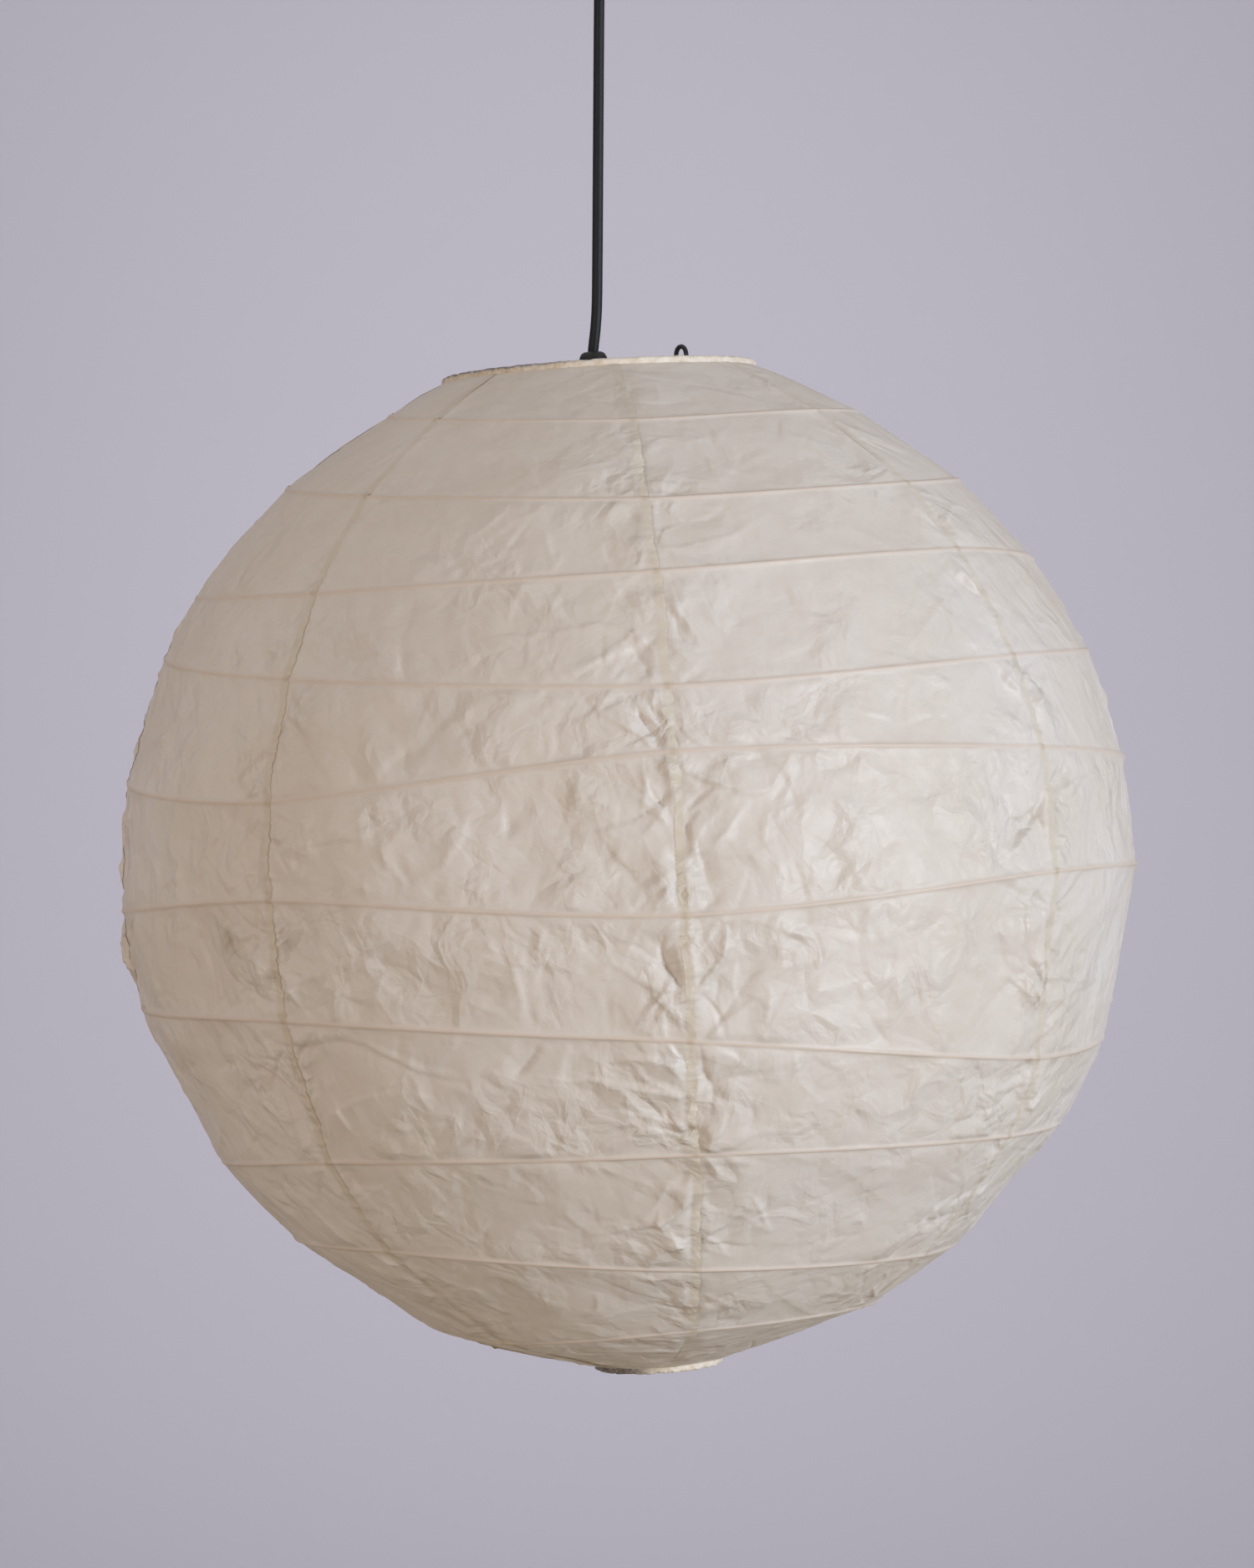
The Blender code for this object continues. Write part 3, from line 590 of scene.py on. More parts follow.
def add_middle_folds(rng, sheet, bands, half_widths):
    """Short folds inside the gore, a few long ones, and small buckles that start at the bamboo."""
    for top, foot, strength in bands:
        half = half_widths((top + foot) / 2)
        for _ in range(round((foot - top) * half * MIDDLE_FOLDS * (0.4 + 0.6 * strength))):
            place = rng.uniform(-0.95, 0.95)
            upright = rng.random() < 0.62
            angle = rng.normal(math.pi / 2, 0.4) if upright else rng.uniform(-1.0, 1.0)
            start = (place * half, rng.uniform(top, foot))
            line = crooked_line(rng, start, angle, rng.uniform(0.009, 0.032), 0.3)
            size = flip(rng) * rng.gamma(2.0, MIDDLE_FOLD_HEIGHT) * strength
            add_fold(sheet, line, size * (0.8 + 0.5 * place ** 2), rng.uniform(*MIDDLE_FOLD_STEEP),
                     rng.uniform(*MIDDLE_FOLD_SHALLOW), flip(rng))
        for _ in range(LONG_FOLDS):
            angle = flip(rng) * rng.uniform(0.3, 0.9)
            start = (rng.uniform(-0.8, 0.8) * half, rng.uniform(top, foot))
            line = crooked_line(rng, start, angle, rng.uniform(0.03, 0.08), 0.1)
            size = flip(rng) * rng.uniform(0.0009, 0.0020) * strength
            add_fold(sheet, line, size, 0.0024, rng.uniform(0.008, 0.014), flip(rng))
        for _ in range(round(half * BUCKLES)):
            edge, down = (top, 1) if rng.random() < 0.6 else (foot, -1)
            start = (rng.uniform(-1, 1) * half, edge + down * 0.002)
            angle = down * rng.normal(math.pi / 2, 0.3)
            line = crooked_line(rng, start, angle, rng.uniform(0.006, 0.020), 0.15)
            size = flip(rng) * rng.uniform(0.0004, 0.0010) * (0.5 + 0.5 * strength)
            add_fold(sheet, line, size, 0.0016, rng.uniform(0.003, 0.006), flip(rng), 0.9)


def gore_lines(left):
    """How far the bamboo has turned at this seam, for each of its lines across the gore."""
    place = (left - START_AZIMUTH) % 360
    found = []
    while place + STATION <= STRIP_LENGTH + 0.01:
        found.append(place)
        place += 360
    return found


def band_steps(length):
    """Shares of the way from one line of bamboo to the next, close together near the bamboo."""
    if length < 0.012:
        return np.linspace(0, 1, 7)[:-1]
    close = np.array([0.0, 0.0005, 0.0010, 0.0015, 0.0022, 0.0032])
    count = max(2, round((length - 2 * close[-1]) / ROW_STEP))
    middle = np.linspace(close[-1], length - close[-1], count + 1)[1:-1]
    return np.concatenate([close, middle, length - close[:0:-1]]) / length


def column_steps():
    """Shares of the way across a gore, closer together near its seams."""
    t = np.linspace(-1, 1, COLUMNS + 1)
    return 0.5 + 0.5 * (0.55 * t + 0.45 * np.sin(t * math.pi / 2))


def seam_drift(seam, height):
    """How far in metres a seam wanders to the right of its place."""
    return 0.0013 * wave(height / 0.10, 500 + seam % GORES)


def seam_relief(seam, height):
    """How far out the doubled paper stands along a seam."""
    fine = 0.0008 * wave(height / 0.017, 540 + seam % GORES, 3)
    return (fine + 0.0007 * wave(height / 0.05, 560 + seam % GORES, 2)) * latitude_strength(height)


def bell(distance, width):
    return np.exp(-(distance / width) ** 2)


def falling(distance):
    """A soft step from 1 down to 0."""
    return 1 / (1 + np.exp(np.clip(distance, -30, 30)))


def overlap_of(number, height):
    """How far a gore lies over the next, which varies a little down its edge."""
    uneven = 0.15 * wave(height / 0.012, 600 + number) + 0.10 * wave(height / 0.003, 620 + number)
    return OVERLAP * (1 + uneven)


class Gore:
    """One gore's grid of points: down from the top rim, and from its left seam to its overlap's edge."""

    def __init__(self, number):
        self.number = number
        self.left = FIRST_SEAM + STATION * (number - 1)
        self.shares = column_steps()
        self.lay_out_rows()
        self.lay_out_columns()

    def lay_out_rows(self):
        top_edge = TOP_RIM_HEIGHT - TOP_BAND * 0.55
        foot_edge = BOTTOM_RIM_HEIGHT + BOTTOM_BAND * 0.55
        lines = [np.full(len(self.shares), top_edge)]
        lines += [strip_height(place + STATION * self.shares) for place in gore_lines(self.left)]
        lines += [np.full(len(self.shares), foot_edge)]
        lines = np.array(lines)
        radii = globe_radius(lines)
        radii[0], radii[-1] = TOP_RIM_RADIUS - 0.0006, BOTTOM_RIM_RADIUS - 0.0006
        lengths = np.hypot(np.diff(radii, axis=0), np.diff(lines, axis=0))
        rows = [(band, share) for band, length in enumerate(lengths.mean(1))
                for share in band_steps(length)]
        rows.append((len(lengths) - 1, 1.0))
        band = np.array([row[0] for row in rows])
        share = np.array([row[1] for row in rows])[:, None]
        self.share = share
        self.height = lines[band] * (1 - share) + lines[band + 1] * share
        self.strength = latitude_strength(self.height)
        self.radius = radii[band] * (1 - share) + radii[band + 1] * share
        size = lengths[band]
        self.out = (lines[band] - lines[band + 1]) / size
        self.up = (radii[band + 1] - radii[band]) / size
        starts = np.concatenate([np.zeros((1, len(self.shares))), np.cumsum(lengths, axis=0)])
        self.along = starts[band] + size * share
        self.line_heights = lines.mean(1)
        self.line_starts = starts.mean(1)
        self.band_length = size
        self.from_rib = np.minimum(share, 1 - share) * size
        last = len(lengths) - 1
        self.at_rim = ((band == 0) & (share[:, 0] < 0.5)) | ((band == last) & (share[:, 0] > 0.5))

    def lay_out_columns(self):
        number, height = self.number, self.height
        radius = np.maximum(self.radius, 0.02)
        start = np.radians(true_azimuth(self.left, height)) + seam_drift(number - 1, height) / radius
        end = np.radians(true_azimuth(self.left + STATION, height)) + seam_drift(number, height) / radius
        self.overlap_before = overlap_of((number - 2) % GORES + 1, height)
        wide = end - start + overlap_of(number, height) / radius
        self.angle = start + wide * self.shares
        self.across = radius * (wide * self.shares - (end - start) / 2)
        self.half = radius * (end - start) / 2
        self.to_left = self.across + self.half
        self.to_right = self.half - self.across

    def relief(self):
        """How far each point stands out from the straight cones between the lines of bamboo."""
        number = self.number
        rng = np.random.default_rng(1000 + number)
        across, along = self.across.ravel(), self.along.ravel()
        half_width = float(self.half.max()) + OVERLAP
        length = float(self.along.max()) + 0.002
        coarse = facets(rng, half_width, length, 0.016, 0.034, across, along).reshape(self.height.shape)
        fine = facets(rng, half_width, length, 0.0075, 0.020, across, along).reshape(self.height.shape)

        def half_at(place):
            row = np.searchsorted(self.along[:, 0], place).clip(0, len(self.along) - 1)
            return float(self.half[row, 0])

        def along_at(height):
            return float(np.interp(-height, -self.line_heights, self.line_starts))

        folds = np.zeros(across.size)
        sheet = (folds, across, along)
        add_seam_folds(rng, sheet, number - 1, 1, lambda height: -half_at(along_at(height)), along_at)
        add_seam_folds(rng, sheet, number, -1, lambda height: half_at(along_at(height)), along_at)
        strengths = latitude_strength((self.line_heights[1:] + self.line_heights[:-1]) / 2)
        bands = [(top, foot, float(strength))
                 for top, foot, strength in zip(self.line_starts, self.line_starts[1:], strengths)
                 if foot - top > LEAST_BAND]
        add_middle_folds(rng, sheet, bands, half_at)
        folds = folds.reshape(self.height.shape)

        strength = self.strength
        near_seam = np.exp(-np.minimum(np.abs(self.to_left), np.abs(self.to_right)) / 0.040)
        held = 1 - np.exp(-(self.from_rib / 0.005) ** 1.3)
        coarse *= (0.0012 + 0.0008 * near_seam) * strength
        fine *= (0.00020 + 0.00080 * near_seam) * strength
        uneven = 0.6 + 0.5 * wave(self.across / 0.16 + number * 0.37, 700 + number, 2)
        bulge = BULGE * uneven * np.minimum(1, self.band_length / 0.05) * 4 * self.share * (1 - self.share)
        free = held * (coarse + fine + folds)
        near_left = bell(np.maximum(0, self.to_left - self.overlap_before), 0.0035)
        near_right = bell(np.maximum(0, self.to_right), 0.0035)
        doubled = (seam_relief(number - 1, self.height) * near_left
                   + seam_relief(number, self.height) * near_right)
        relief = free * (1 - near_left) * (1 - near_right) + doubled * held + bulge
        relief += np.where(self.at_rim[:, None], 0.0, RIDGE * bell(self.from_rib, RIDGE_WIDTH))
        return relief + 2 * SHEET_LIFT * bell(np.maximum(0, self.to_right), 0.003)

    def marks(self):
        """How strongly each point shows the bamboo, the doubled paper, the glue and the stain."""
        not_rim = np.where(self.at_rim[:, None], 0.0, 1.0)
        rib = not_rim * bell(self.from_rib, 0.0010)
        rib *= 0.8 + 0.2 * wave(self.across / 0.03, 640 + self.number)
        past_overlap = self.to_left - self.overlap_before
        doubled = np.maximum(falling(past_overlap / SEAM_EDGE), falling(self.to_right / SEAM_EDGE))
        line = bell(np.minimum(np.abs(past_overlap), np.abs(self.to_right)), 0.0006)
        seam = np.minimum(np.abs(self.to_left - OVERLAP / 2), np.abs(self.to_right + OVERLAP / 2))
        crossing = not_rim * bell(self.from_rib, 0.0016) * bell(seam, 0.0016)
        patchy = 0.5 + 0.5 * wave(self.along / 0.02, 660 + self.number)
        glue = np.clip(0.24 * line * patchy + 0.8 * crossing, 0, 1)
        doubled *= 0.45 + 0.55 * self.strength
        doubled *= 0.85 + 0.3 * wave(self.along / 0.015, 690)
        stain = np.zeros(self.height.shape)
        if self.number == GORES - 1:
            wide, tall = STAIN_SIZE
            stain = bell(self.across - STAIN_ACROSS, wide) * bell(self.height - STAIN_HEIGHT, tall)
            stain *= 0.7 + 0.6 * wave(self.across / 0.02 + self.along / 0.013, 680)
        near_seam = np.exp(-np.minimum(np.abs(self.to_left), np.abs(self.to_right)) / 0.030)
        held = 1 - bell(self.from_rib, 0.003)
        crumple = (0.55 + 0.45 * near_seam) * self.strength * held
        stain = np.clip(stain, 0, 1)
        return {"rib": rib, "seam": doubled, "glue": glue, "stain": stain, "crumple": crumple}

    def points(self):
        relief = self.relief()
        return round_axis(self.radius + self.out * relief, self.angle, self.height + self.up * relief)


def grid_mesh(name, points, shape, flat):
    """A mesh of quads over a grid of points, with the flat layout as its UV map."""
    rows, columns = shape
    index = np.arange(rows * columns).reshape(rows, columns)
    faces = np.stack([index[:-1, :-1], index[1:, :-1], index[1:, 1:], index[:-1, 1:]], axis=-1)
    faces = faces.reshape(-1, 4)
    mesh = bpy.data.meshes.new(name)
    mesh.vertices.add(len(points))
    mesh.vertices.foreach_set("co", points.astype(np.float32).ravel())
    mesh.loops.add(faces.size)
    mesh.loops.foreach_set("vertex_index", faces.astype(np.int32).ravel())
    mesh.polygons.add(len(faces))
    mesh.polygons.foreach_set("loop_start", np.arange(0, faces.size, 4, dtype=np.int32))
    mesh.update(calc_edges=True)
    layer = mesh.uv_layers.new(name="flat")
    layer.data.foreach_set("uv", flat[faces.ravel()].astype(np.float32).ravel())
    mesh.shade_smooth()
    return mesh


def ride_shade(item):
    """Puts an item on the shade, so that it turns with it, and gives it a mesh of its own."""
    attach(item, "shade")
    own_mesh(item)


def build_gore(number, material):
    gore = Gore(number)
    flat = np.stack([gore.across.ravel() + 0.3 * number, gore.along.ravel()], axis=1)
    mesh = grid_mesh(f"gore_{number}", gore.points(), gore.height.shape, flat)
    for name, values in gore.marks().items():
        paint(mesh, name, values)
    mesh.materials.append(material)
    sheet = add_object(f"paper_sheet_{number}", mesh)
    ride_shade(sheet)
    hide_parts(f"paper_gore_{number}")


# Rims and hardware

def binding_profile(rim, height, down, deep):
    """A strip of paper folded over a ring: up its outer face, round the ring and down its inner face."""
    outer, inner = rim + BINDING_PROUD, rim - BINDING_WIDTH
    middle, half = (outer + inner) / 2, (outer - inner) / 2
    fold = [(middle + half * math.cos(turn), height + down * (half * 0.45 - half * 0.62 * math.sin(turn)))
            for turn in np.linspace(0, math.pi, 11)]
    return [(outer, height + down * deep * share) for share in (1, 0.8, 0.6, 0.4)] + fold + [
        (inner, height + down * deep * share) for share in (0.5, 0.75, 0.95)]


def make_binding(name, node_name, body, rim, height, down, deep, dark_from, material):
    """A rim's binding. Painted shade darkens its side away from the light, from dark_from of its way round
    the fold.
    """
    profile = np.array(binding_profile(rim, height, down, deep))
    turn = np.linspace(-math.pi, math.pi, BINDING_STEPS + 1)
    around = rim * turn
    edge = np.linspace(1, 0, len(profile))[:, None]
    seed = int(down)
    ragged = 0.0009 * wave(around / 0.011, 800 + seed) + 0.0005 * wave(around / 0.003, 810 + seed)
    radius = profile[:, :1] + 0.00035 * wave(around / 0.009 + 2 * edge, 820 + seed, 4)
    tall = profile[:, 1:] + down * ragged * np.maximum(0, edge * 1.6 - 0.6)
    tall = tall + 0.0002 * wave(around / 0.02, 830)
    flat = np.stack(np.broadcast_arrays(around, 0.02 * edge), axis=-1).reshape(-1, 2)
    mesh = grid_mesh(name, round_axis(radius, turn, tall), radius.shape, flat)
    azimuth = np.degrees(turn)
    # painted shade: the binding's side away from the window light, azimuth -90 to -12, is darkened in its
    # colour
    shaded = falling(-(azimuth + 90) / 5) * falling((azimuth + 12) / 6)
    painted_shade = shaded * bell(np.maximum(0, edge - dark_from), 0.12) * bell(np.minimum(0, edge - 0.5), 0.15)
    # brown paste along the edge, painted stronger on the shaded side as painted shade
    paste_and_shade = np.maximum(0, edge - 0.55) * 2 * (0.6 + 0.5 * shaded + 0.6 * wave(around / 0.03, 840))
    paint(mesh, "painted_shade", painted_shade)
    paint(mesh, "paste_and_shade", np.clip(paste_and_shade, 0, 1))
    mesh.materials.append(material)
    band = add_object(name, mesh)
    stand_in(band, body, node_name)


def rounded(outline, radius, closed):
    """The outline with each corner turned into a short curve."""
    points = [Vector(point) for point in outline]
    count = len(points)
    curve = []
    for index, corner in enumerate(points):
        if not closed and index in (0, count - 1):
            curve.append(corner)
            continue
        before, after = points[index - 1], points[(index + 1) % count]
        start = corner.lerp(before, min(0.45, radius / (corner - before).length))
        end = corner.lerp(after, min(0.45, radius / (corner - after).length))
        for t in (0.0, 0.25, 0.5, 0.75, 1.0):
            curve.append(start.lerp(corner, t).lerp(corner.lerp(end, t), t))
    return curve


def finely(points, step, closed):
    """The points with more added between them, so that none is further than a step from the next."""
    line = []
    ends = points[1:] + points[:1] if closed else points[1:]
    for start, end in zip(points, ends):
        count = max(1, math.ceil((end - start).length / step))
        line += [start.lerp(end, index / count) for index in range(count)]
    return line if closed else line + [points[-1]]


def lathe(node_name, body, outline, material, matrix, ripple=None, edge=0.0005, steps=72):
    """Turns an outline of (radius, height) points. One that starts at the axis is open."""
    closed = outline[0][0] > 0
    line = finely(rounded(outline, edge, closed), 0.0006 if ripple else 0.004, closed)
    radius = np.array([point[0] for point in line])[:, None]
    height = np.array([point[1] for point in line])[:, None]
    turn = np.linspace(0, math.tau, steps, endpoint=False)[None, :]
    if ripple:
        radius = radius + ripple(radius, height, turn)
    spots = np.stack([radius * np.cos(turn), radius * np.sin(turn), height + 0 * turn], axis=-1)
    index = np.arange(len(line) * steps).reshape(len(line), steps)
    below = np.roll(index, -1, axis=0) if closed else index[1:]
    above = index if closed else index[:-1]
    faces = np.stack([above, below, np.roll(below, -1, axis=1), np.roll(above, -1, axis=1)], axis=-1)
    bm = bmesh.new()
    corners = [bm.verts.new(matrix @ Vector(spot)) for spot in spots.reshape(-1, 3)]
    for face in faces.reshape(-1, 4):
        bm.faces.new([corners[corner] for corner in face])
    bmesh.ops.remove_doubles(bm, verts=bm.verts, dist=0.000001)
    bmesh.ops.recalc_face_normals(bm, faces=bm.faces)
    name = f"turned_{node_name}"
    stand_in(add_object(name, mesh_of(bm, name, material)), body, node_name)


def faded(height, top, foot, margin):
    """1 between two heights, and 0 outside them."""
    return np.clip((top - height) / margin, 0, 1) * np.clip((height - foot) / margin, 0, 1)


def thread(top, foot, pitch, depth, least):
    """A ripple for lathe(): a screw thread between two heights, on the outline's outer side."""
    def ripple(radius, height, turn):
        swing = np.cos(math.tau * height / pitch + turn)
        return depth * faded(height, top, foot, 0.001) * (radius > least) * swing
    return ripple


def ridges(count, depth, least, top, foot):
    """A ripple for lathe(): upright grip ridges on the outer side."""
    def ripple(radius, height, turn):
        return depth * faded(height, top, foot, 0.0008) * (radius > least) * np.cos(count * turn)
    return ripple


def make_holder(looks):
    matrix = PLACE @ Matrix.Translation((HOLDER_X, 0, 0))
    mouth = CORD_RADIUS + 0.0004
    top = GRIP_FOOT - GAP
    shoulder_top = CAP_FOOT - GAP
    nut_hole = SKIRT_RADIUS + 0.0004
    nut_foot = RING_TOP - 0.0055
    for node_name, body, outline, ripple, steps in (
        ("cord_grip", "holder", [
            (mouth, GRIP_TOP - 0.0002), (0.0048, GRIP_TOP + 0.0004), (0.0064, GRIP_TOP - 0.0006),
            (0.0074, GRIP_TOP - 0.0024), (0.0078, GRIP_TOP - 0.0048), (0.0079, GRIP_TOP - 0.0072),
            (0.0092, GRIP_TOP - 0.0110), (0.0108, GRIP_FOOT), (mouth, GRIP_FOOT),
        ], ridges(20, 0.00018, 0.0060, GRIP_TOP - 0.003, GRIP_FOOT + 0.002), 72),
        ("holder_cap", "holder", [
            (0.0050, top), (0.0105, top), (0.0150, top - 0.0030), (0.0185, top - 0.0090),
            (CAP_RADIUS, top - 0.0180), (CAP_RADIUS, CAP_FOOT + 0.0034),
            (CAP_RADIUS + 0.0006, CAP_FOOT + 0.0030), (CAP_RADIUS + 0.0006, CAP_FOOT),
            (CAP_RADIUS - 0.0018, CAP_FOOT), (CAP_RADIUS - 0.0018, top - 0.0180), (0.0168, top - 0.0105),
            (0.0135, top - 0.0045), (0.0100, top - 0.0018), (0.0050, top - 0.0018),
        ], ridges(36, 0.00015, 0.0202, top - 0.018, CAP_FOOT + 0.004), 72),
        ("holder_skirt", "holder", [
            (SOCKET_RADIUS, shoulder_top), (0.0225, shoulder_top), (0.0225, SHOULDER_FOOT),
            (SKIRT_RADIUS, SHOULDER_FOOT), (SKIRT_RADIUS, SKIRT_FOOT + 0.0010),
            (SKIRT_RADIUS - 0.0010, SKIRT_FOOT), (SOCKET_RADIUS + 0.0010, SKIRT_FOOT),
            (SOCKET_RADIUS, SKIRT_FOOT + 0.0010),
        ], thread(SHOULDER_FOOT - 0.001, SKIRT_FOOT + 0.002, 0.0025, 0.00028, 0.0185), 72),
        ("shade_ring_nut", "shade_ring", [
            (nut_hole, RING_TOP), (0.0255, RING_TOP), (0.0272, RING_TOP - 0.0012),
            (0.0272, RING_TOP - 0.0045), (0.0262, nut_foot), (nut_hole, nut_foot),
        ], ridges(32, 0.0003, 0.0258, RING_TOP - 0.0006, RING_TOP - 0.0050), 192),
    ):
        lathe(node_name, body, outline, looks["black"], matrix, ripple, steps=steps)


def make_bulb(looks):
    matrix = PLACE @ Matrix.Translation((HOLDER_X, 0, 0))
    neck_top = SKIRT_FOOT + 0.0008
    arc = [(BULB_RADIUS * math.sin(turn), BULB_CENTRE + BULB_RADIUS * math.cos(turn))
           for turn in np.radians([56, 66, 78, 90, 104, 118, 132, 146, 160, 171])]
    lathe("bulb_globe", "bulb", [
        (0, neck_top), (0.0126, neck_top), (0.0139, neck_top - 0.0060), (0.0156, neck_top - 0.0140),
        (0.0196, neck_top - 0.0240), *arc, (0, BULB_CENTRE - BULB_RADIUS),
    ], looks["opal"], matrix, edge=0.004)
    foot = neck_top + GAP
    lathe("bulb_cap", "bulb", [
        (0, BULB_CAP_TOP), (0.0070, BULB_CAP_TOP), (0.0118, BULB_CAP_TOP - 0.0040),
        (BULB_CAP_RADIUS - 0.0006, BULB_CAP_TOP - 0.0060), (BULB_CAP_RADIUS - 0.0006, foot + 0.0010),
        (BULB_CAP_RADIUS - 0.0012, foot), (0, foot),
    ], looks["cap_metal"], matrix, thread(BULB_CAP_TOP - 0.006, foot + 0.004, 0.0036, 0.0005, 0.0118))


def make_canopy(looks):
    inside = PLATE_RADIUS + GAP
    outside = inside + CUP_WALL
    lathe("canopy_cup", "canopy", [
        (inside, -0.0004), (outside, -0.0004), (outside, -0.0200), (outside - 0.0020, -0.0300),
        (outside - 0.0090, -0.0400), (outside - 0.0210, -0.0470), (0.0160, -0.0500), (0.0122, CUP_FOOT),
        (CUP_OUTLET + 0.0006, CUP_FOOT), (CUP_OUTLET, CUP_FOOT + 0.0006), (0.0110, -0.0500 + CUP_WALL),
        (outside - 0.0215, -0.0470 + CUP_WALL), (outside - 0.0097, -0.0400 + CUP_WALL),
        (inside - 0.0020, -0.0296), (inside, -0.0198),
    ], looks["satin"], Matrix.Identity(4), edge=0.003, steps=128)


def stretcher_spot(along, height, side=1):
    angle = math.radians(STRETCHER_AZIMUTH)
    return PLACE @ Vector((side * along * math.sin(angle), -side * along * math.cos(angle), height))


def add_wire(name, node_name, spots, material, closed=False, body="shade", radius=WIRE):
    stand_in(wire_curve(name, spots, radius, material, closed), body, node_name)


def make_stretcher(material):
    """The wire eye, the two bent arms with an arch over the top ring, and the bar across the foot."""
    eye = circle(HOLDER_X, SKIRT_RADIUS + WIRE + GAP, EYE_HEIGHT, 64)
    add_wire("wire_eye", "stretcher_eye", eye, material, closed=True)
    bend = (ARCH_OUTER - ARCH_INNER) / 2
    middle = (ARCH_OUTER + ARCH_INNER) / 2
    for name, side in (("near", 1), ("far", -1)):
        start = SKIRT_RADIUS + 3 * WIRE + side * HOLDER_X * math.sin(math.radians(STRETCHER_AZIMUTH))
        line = [(start, EYE_HEIGHT), (start + 0.010, EYE_HEIGHT + 0.0015),
                (ARCH_INNER - 0.006, ARM_TOP - 0.006), (ARCH_INNER - 0.0015, ARM_TOP - 0.0015),
                (ARCH_INNER, ARM_TOP + 0.003)]
        line += [(middle - bend * math.cos(turn), ARCH_TOP - WIRE - bend + bend * math.sin(turn))
                 for turn in np.linspace(0, math.pi, 9)]
        line += [(ARCH_OUTER - 0.0004, ARM_TOP + 0.001), (ARCH_OUTER - 0.0016, ARM_TOP - 0.012),
                 (0.0690, 0.150), (0.0555, 0.0), (0.0410, -0.150),
                 (FOOT_RADIUS + 0.0012, FOOT_HEIGHT + 0.018),
                 (FOOT_KINK, FOOT_HEIGHT + 0.0075), (FOOT_RADIUS, FOOT_HEIGHT + 0.0035),
                 (FOOT_RADIUS - 0.0015, FOOT_HEIGHT)]
        spots = smooth_route([(along, height, 0) for along, height in line], 0.002)
        spots = [stretcher_spot(spot.x, spot.y, side) for spot in spots]
        add_wire(f"wire_arm_{name}", f"stretcher_arm_{name}", spots, material)
    reach = FOOT_RADIUS - 0.0015 - WIRE
    bar = [stretcher_spot(reach * share, FOOT_HEIGHT - 0.0005) for share in np.linspace(-1, 1, 9)]
    add_wire("wire_foot_bar", "stretcher_foot_bar", bar, material)


def make_rings(material):
    for name, node_name, body, rim, height in (
            ("ring_wire_top", "top_ring", "top_rim", TOP_RIM_RADIUS, TOP_RIM_HEIGHT - 0.0017),
            ("ring_wire_bottom", "bottom_ring", "shade", BOTTOM_RIM_RADIUS, BOTTOM_RIM_HEIGHT + 0.0017)):
        spots = circle(0, rim - BINDING_WIDTH / 2, height, 120)
        add_wire(name, node_name, spots, material, True, body, RING_RADIUS)


def finish_cad(looks):
    """Gives the CAD pieces that stay in view their materials."""
    for look, node_names in (
            ("ceramic", ("socket_insert", "terminal_block")), ("brass", ("socket_contact", "bulb_contact")),
            ("zinc", ("ceiling_plate", "plate_screw_1", "plate_screw_2", "ceiling_hook", "hanger_screw")),
            ("black", ("cord_hanger",))):
        for node_name in node_names:
            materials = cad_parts[node_name].data.materials
            materials.clear()
            materials.append(looks[look])


# Scene

def smooth_route(points, step):
    route = [Vector(point) for point in points]
    route = [2 * route[0] - route[1], *route, 2 * route[-1] - route[-2]]
    line = [route[1]]
    for before, start, end, after in zip(route, route[1:], route[2:], route[3:]):
        count = max(1, round((end - start).length / step))
        line += [spline(before, start, end, after, index / count) for index in range(1, count + 1)]
    return line


def wire_curve(name, points, radius, material, closed=False, resolution=4):
    curve = bpy.data.curves.new(name, "CURVE")
    curve.dimensions = "3D"
    curve.bevel_depth = radius
    curve.bevel_resolution = resolution
    curve.use_fill_caps = True
    line = curve.splines.new("POLY")
    line.points.add(len(points) - 1)
    for spot, point in zip(line.points, points):
        spot.co = (*point, 1.0)
    line.use_cyclic_u = closed
    curve.materials.append(material)
    return add_object(name, curve)


def make_camera():
    data = bpy.data.cameras.new("camera")
    data.lens = CAMERA_LENS
    data.clip_end = 60
    camera = add_object("camera", data)
    camera.location = CAMERA_PLACE
    camera.rotation_euler = (math.radians(90), 0, 0)
    bpy.context.scene.camera = camera


def make_cord(material):
    cord = wire_curve("cord_sheath", smooth_route(CORD_ROUTE, 0.003), CORD_RADIUS, material, resolution=6)
    stand_in(cord, "cord", "cord")


def make_bamboo(material):
    for number in range(1, BAMBOO_TURNS + 1):
        start = 360 * (number - 1)
        end = min(start + 360, STRIP_LENGTH)
        turned = np.linspace(start + 0.1, end - 0.1, int((end - start) / 3) + 1)
        height = strip_height(turned)
        slope = (globe_radius(height - 0.003) - globe_radius(height + 0.003)) / 0.006
        inset = BAMBOO_INSET / np.hypot(1, slope)
        radius = globe_radius(height) - inset
        lowered = height - inset * slope
        angle = np.radians(true_azimuth(START_AZIMUTH + turned, height))
        spots = zip(radius * np.sin(angle), -radius * np.cos(angle), lowered)
        points = [PLACE @ Vector(spot) for spot in spots]
        name = f"bamboo_curve_{number:02d}"
        strip = wire_curve(name, points, BAMBOO_RADIUS, material, resolution=1)
        graph = bpy.context.evaluated_depsgraph_get()
        mesh = bpy.data.meshes.new_from_object(strip.evaluated_get(graph))
        bpy.data.objects.remove(strip)
        turn = add_object(f"bamboo_line_{number:02d}", mesh)
        ride_shade(turn)
        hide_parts(f"bamboo_turn_{number:02d}")


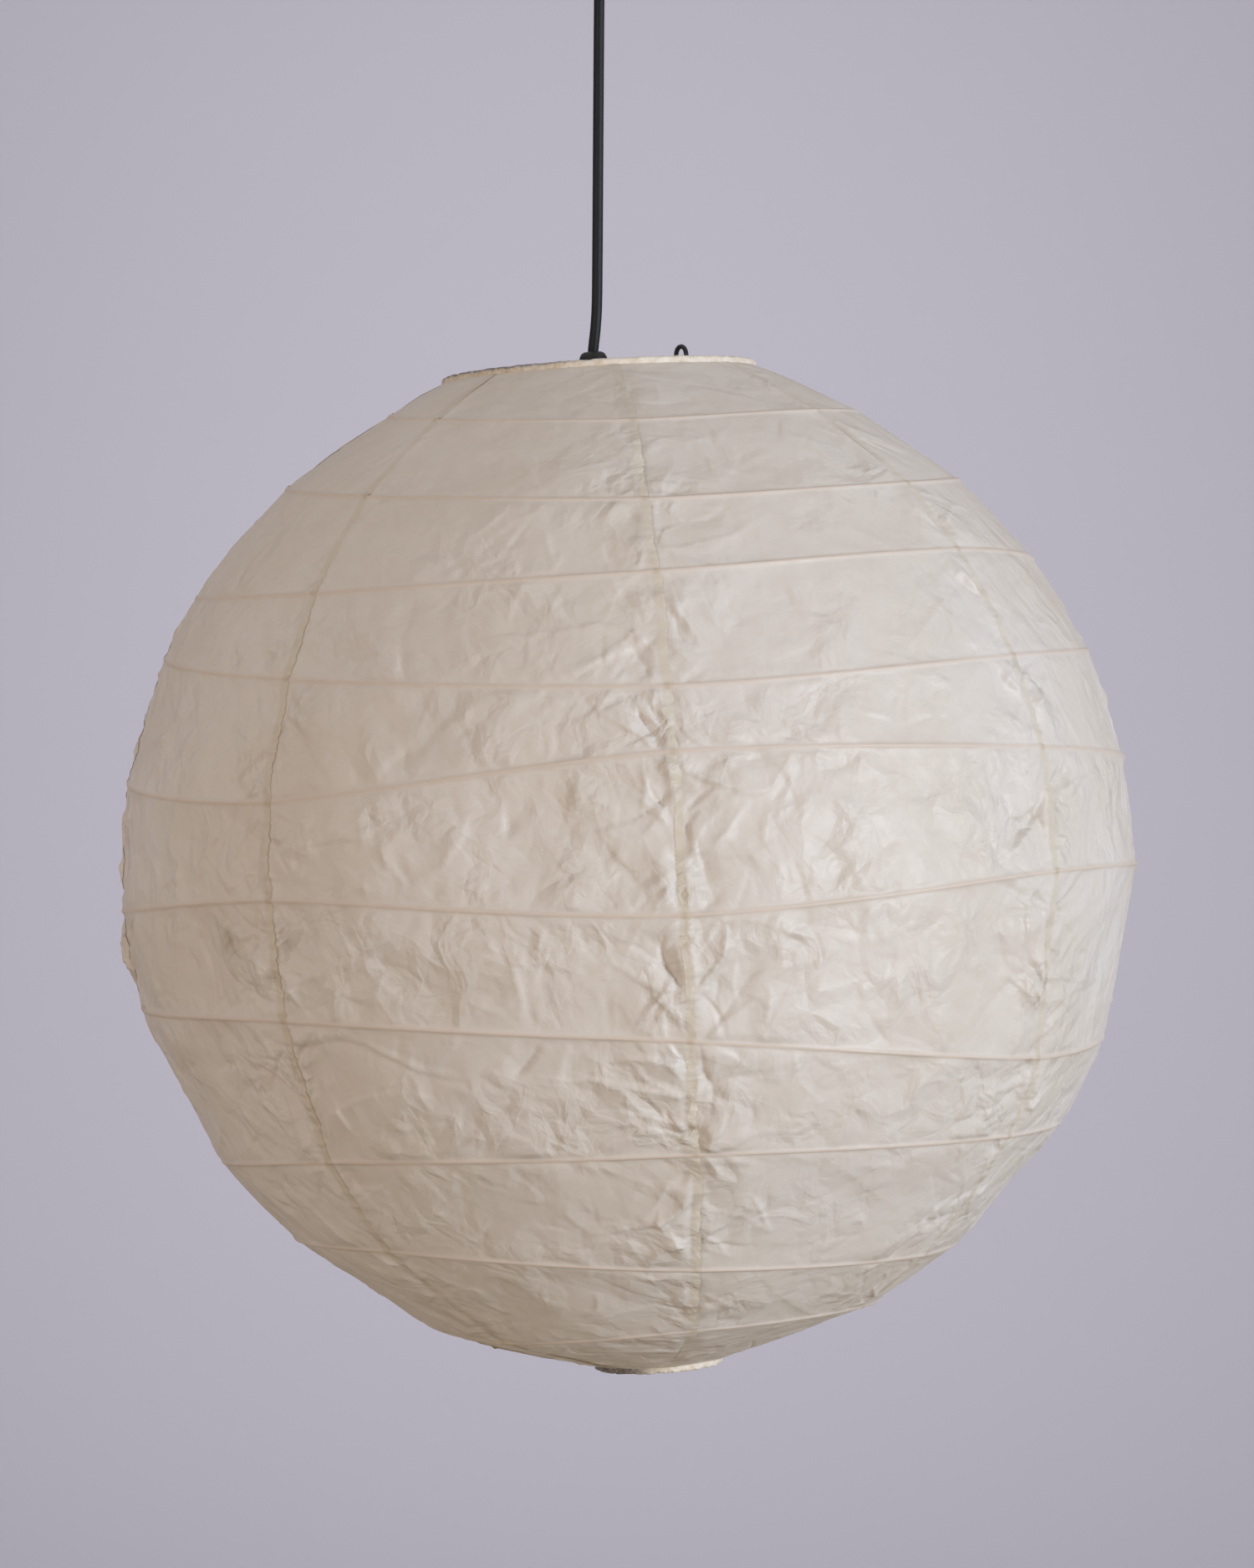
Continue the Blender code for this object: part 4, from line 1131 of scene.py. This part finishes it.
def make_room():
    """A wide pale bowl: a floor that curves up into a wall all round, with the lantern over its middle."""
    material, tree, shader = new_material("pale_backdrop")
    place = node(tree, "ShaderNodeTexCoord").outputs["Object"]
    level = maths(tree, "MULTIPLY", place, (1.0, 1.0, 0.0), "VectorMath")
    out = node(tree, "ShaderNodeVectorMath", {0: level}, operation="LENGTH").outputs["Value"]
    colour = mixed(tree, ranged(tree, out, 2.5, 7.0, 0.0, 1.0), (0.38, 0.325, 0.25), (0.57, 0.555, 0.615))
    plug(tree, shader.inputs, {"Base Color": colour, "Roughness": 0.95, "Specular IOR Level": 0.1})
    outline = [(0.0, FLOOR)]
    outline += [(FLOOR_REACH + CORNER_RADIUS * math.sin(turn), FLOOR + CORNER_RADIUS * (1 - math.cos(turn)))
                for turn in np.linspace(0, math.pi / 2, 13)]
    outline += [(FLOOR_REACH + CORNER_RADIUS, WALL_TOP)]
    bm = bmesh.new()
    points = [bm.verts.new((radius, 0, height)) for radius, height in outline]
    for start, end in zip(points, points[1:]):
        bm.edges.new((start, end))
    bmesh.ops.spin(bm, geom=bm.verts[:] + bm.edges[:], cent=(0, 0, 0), axis=(0, 0, 1), angle=math.tau,
                   steps=96)
    bmesh.ops.remove_doubles(bm, verts=bm.verts, dist=0.0001)
    add_object("backdrop", mesh_of(bm, "backdrop", material))


def area_light(name, place, target, size, power, colour):
    data = bpy.data.lights.new(name, "AREA")
    data.shape = "RECTANGLE"
    data.size, data.size_y = size
    data.energy = power
    data.color = colour
    light = add_object(name, data)
    light.location = place
    light.rotation_euler = (Vector(target) - Vector(place)).to_track_quat("-Z", "Y").to_euler()
    light.visible_camera = False


def make_lights():
    scene = bpy.context.scene
    world = bpy.data.worlds.new("studio")
    scene.world = world
    world.use_nodes = True
    background = world.node_tree.nodes["Background"]
    background.inputs["Color"].default_value = (0.98, 0.95, 0.94, 1)
    background.inputs["Strength"].default_value = 0.62
    area_light("window", (3.65, -2.45, -0.60), CENTRE, (1.3, 2.0), 157, (0.80, 0.885, 1.0))
    area_light("warm_fill", (-2.6, -3.2, -0.7), CENTRE, (2.5, 2.5), 50, (1.0, 0.86, 0.70))
    area_light("wall_wash", (0.0, 5.8, 0.9), (0.0, 9.0, 0.1), (1.0, 0.6), 43, (0.98, 0.97, 1.0))
    scene.view_settings.view_transform = "Standard"


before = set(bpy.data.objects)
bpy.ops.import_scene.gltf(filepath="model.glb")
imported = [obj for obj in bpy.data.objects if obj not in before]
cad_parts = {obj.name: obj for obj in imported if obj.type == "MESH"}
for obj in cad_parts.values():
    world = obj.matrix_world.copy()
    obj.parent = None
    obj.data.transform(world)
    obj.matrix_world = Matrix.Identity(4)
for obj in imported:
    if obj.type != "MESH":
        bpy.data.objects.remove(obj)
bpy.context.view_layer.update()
make_camera()
LOOKS = {look: plain_material(*settings) for look, settings in PLAIN_LOOKS.items()}
make_canopy(LOOKS)
make_cord(LOOKS["cord"])
make_room()
make_lights()
washi = paper_material("washi", (0.86, 0.80, 0.73), (0.80, 0.72, 0.62), 0.22)
for gore_number in range(1, GORES + 1):
    build_gore(gore_number, washi)
make_bamboo(bamboo_material())
make_rings(LOOKS["wire"])
make_stretcher(LOOKS["wire"])
make_holder(LOOKS)
make_bulb(LOOKS)
rim_look = rim_material()
foot_rim = BOTTOM_RIM_HEIGHT - FOOT_RIM_DROP
make_binding("binding_top", "top_binding", "top_rim",
             TOP_RIM_RADIUS, TOP_RIM_HEIGHT, -1, 0.0062, 0.62, rim_look)
make_binding("binding_foot", "bottom_binding", "shade",
             BOTTOM_RIM_RADIUS, foot_rim, 1, 0.0058, 0.85, rim_look)
finish_cad(LOOKS)
